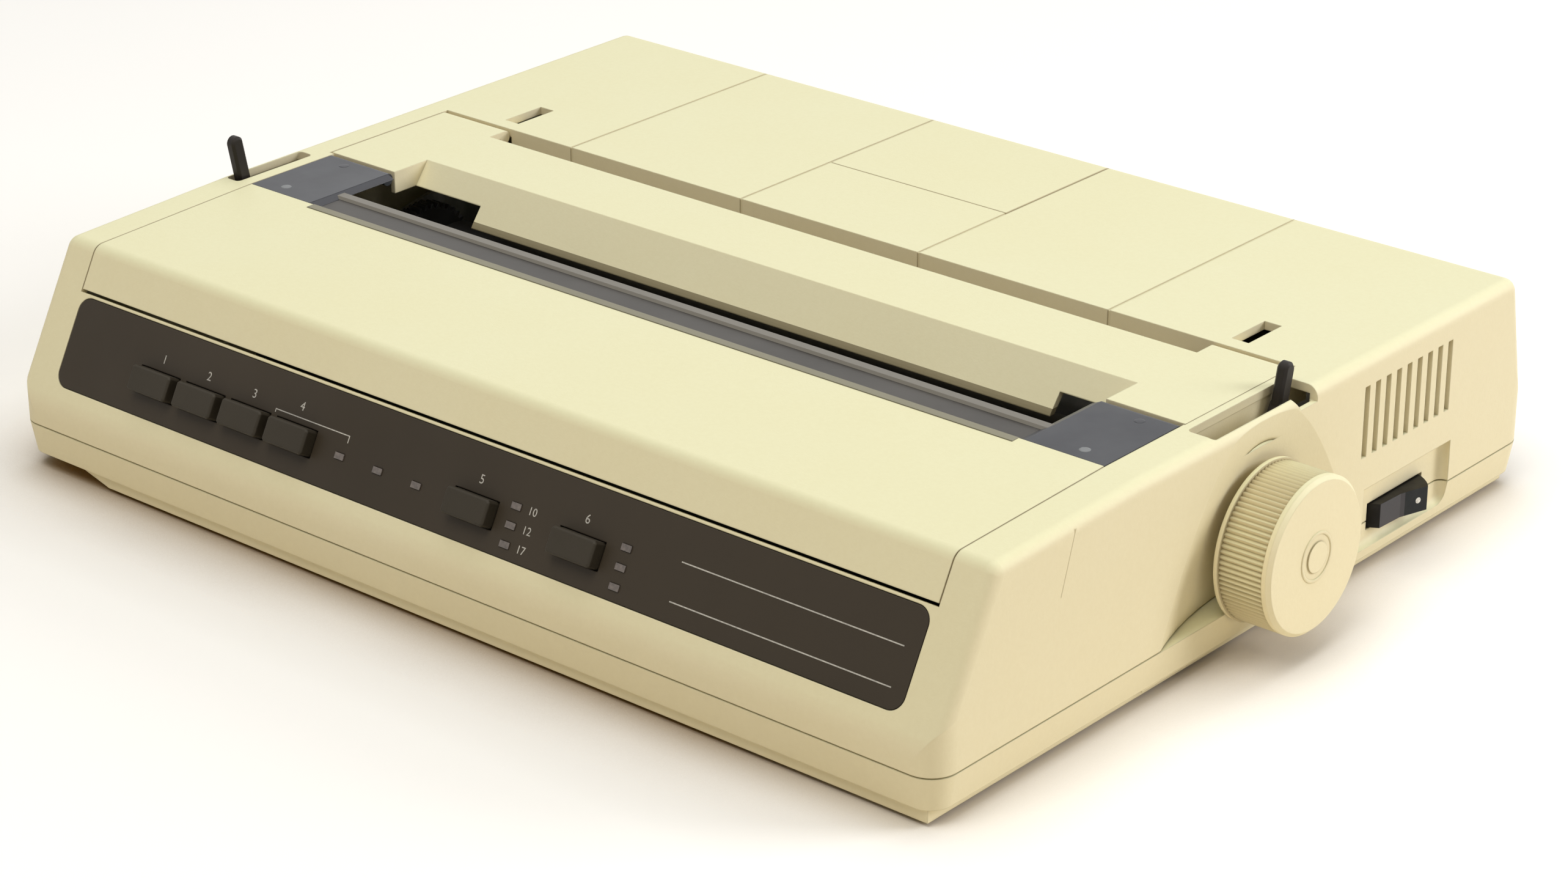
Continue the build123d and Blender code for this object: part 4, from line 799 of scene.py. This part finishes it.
def ribbon_strip(shape):
    """The free stretch of ribbon from the cartridge, down past the nose of the head and back."""
    for stretch in zip(RIBBON_ROUTE, RIBBON_ROUTE[1:]):
        corners = []
        for x, y, z in stretch:
            for rise, push in ((-1, -1), (1, -1), (1, 1), (-1, 1)):
                spot = at(
                    HEAD_X + x, y + push * RIBBON_HALF_THICKNESS, z + rise * RIBBON_HALF_HEIGHT
                )
                corners.append(shape.verts.new(spot))
        near, far = corners[:4], corners[4:]
        shape.faces.new(near)
        shape.faces.new(far)
        for here in range(4):
            there = (here + 1) % 4
            shape.faces.new((near[here], near[there], far[there], far[here]))


piece("ink_ribbon", ribbon_strip, "carriage", ink_cloth())

# --- Room ------------------------------------------------------------------------------------
FLOOR_HALF = 6
FLOOR_SEEN = (1.12, 1.12, 1.12)
FLOOR_SHADE = (0.22, 0.12, 0.03)
ROOM_LIGHT = 0.2
OVERHEAD_POWER = 13
RIGHT_POWER = 28
FRONT_POWER = 24

floor_mesh = bpy.data.meshes.new("studio_floor")
floor_corners = [(x * FLOOR_HALF, y * FLOOR_HALF, 0) for x, y in ((-1, -1), (1, -1), (1, 1), (-1, 1))]
floor_mesh.from_pydata(floor_corners, [], [(0, 1, 2, 3)])
floor = bpy.data.objects.new("studio_floor", floor_mesh)
bpy.context.scene.collection.objects.link(floor)


def floor_paint():
    """White floor. Where it is looked at, it reads as white paper with warm shadows, weaker at
    the right, where the lamp shines under the machine."""
    finish = Finish("floor_paint", (0.93, 0.87, 0.74), 0.9, Specular_IOR_Level=0.0)
    # Painted shadow: the floor darkens to warm brown near the machine, less at the right.
    near = finish.ramp(finish.crevice(0.045), (0.2, 1), (0.95, 0))
    lamp_side = finish.ramp(finish.along(0) * 12 - 1.0, (0, 1), (1, 0.5))
    paper, shade = [
        finish.node("ShaderNodeBsdfDiffuse", {}, {"Color": (*color, 1)}).outputs[0]
        for color in (FLOOR_SEEN, FLOOR_SHADE)
    ]
    seen = finish.node("ShaderNodeMixShader", {}, {0: near * lamp_side, 1: paper, 2: shade})
    direct = finish.seen_by("Camera", "Glossy", "Transmission")
    blend = finish.node(
        "ShaderNodeMixShader", {}, {0: direct, 1: finish.shader.outputs[0], 2: seen.outputs[0]}
    )
    output = finish.tree.nodes["Material Output"]
    finish.tree.links.new(blend.outputs[0], output.inputs["Surface"])
    return finish.material


floor_mesh.materials.append(floor_paint())

def studio_world():
    """World that lights the machine softly, and is plain white to the camera and in glosses."""
    world = bpy.data.worlds.new("studio")
    world.use_nodes = True
    world.node_tree.nodes.clear()
    room = NodeTree(world.node_tree)
    direct = room.seen_by("Camera", "Glossy")
    soft = {"Color": (1.0, 0.975, 0.93, 1), "Strength": ROOM_LIGHT}
    white = {"Color": (1, 1, 1, 1), "Strength": 1.0}
    light, backdrop = [
        room.node("ShaderNodeBackground", {}, inputs).outputs[0] for inputs in (soft, white)
    ]
    blend = room.node("ShaderNodeMixShader", {}, {0: direct, 1: light, 2: backdrop})
    room.node("ShaderNodeOutputWorld", {}, {"Surface": blend.outputs[0]})
    return world


bpy.context.scene.world = studio_world()


def softbox(name, place, aim, size, power, color):
    """A large square lamp aimed at a point."""
    data = bpy.data.lights.new(name, "AREA")
    data.shape = "SQUARE"
    data.size = size
    data.energy = power
    data.color = color
    lamp = bpy.data.objects.new(name, data)
    lamp.location = place
    lamp.rotation_euler = (Vector(aim) - Vector(place)).to_track_quat("-Z", "Y").to_euler()
    bpy.context.scene.collection.objects.link(lamp)


softbox("overhead_softbox", (-0.1, 0.5, 2.1), (0, 0, 0), 1.5, OVERHEAD_POWER, (1, 1, 1))
softbox("right_softbox", (1.6, 1.4, 0.9), (0, 0, 0.03), 1.0, RIGHT_POWER, (1, 1, 1))
softbox("front_softbox", (0.2, -1.0, 2.1), (0, 0, 0.03), 1.3, FRONT_POWER, (1, 0.95, 0.84))
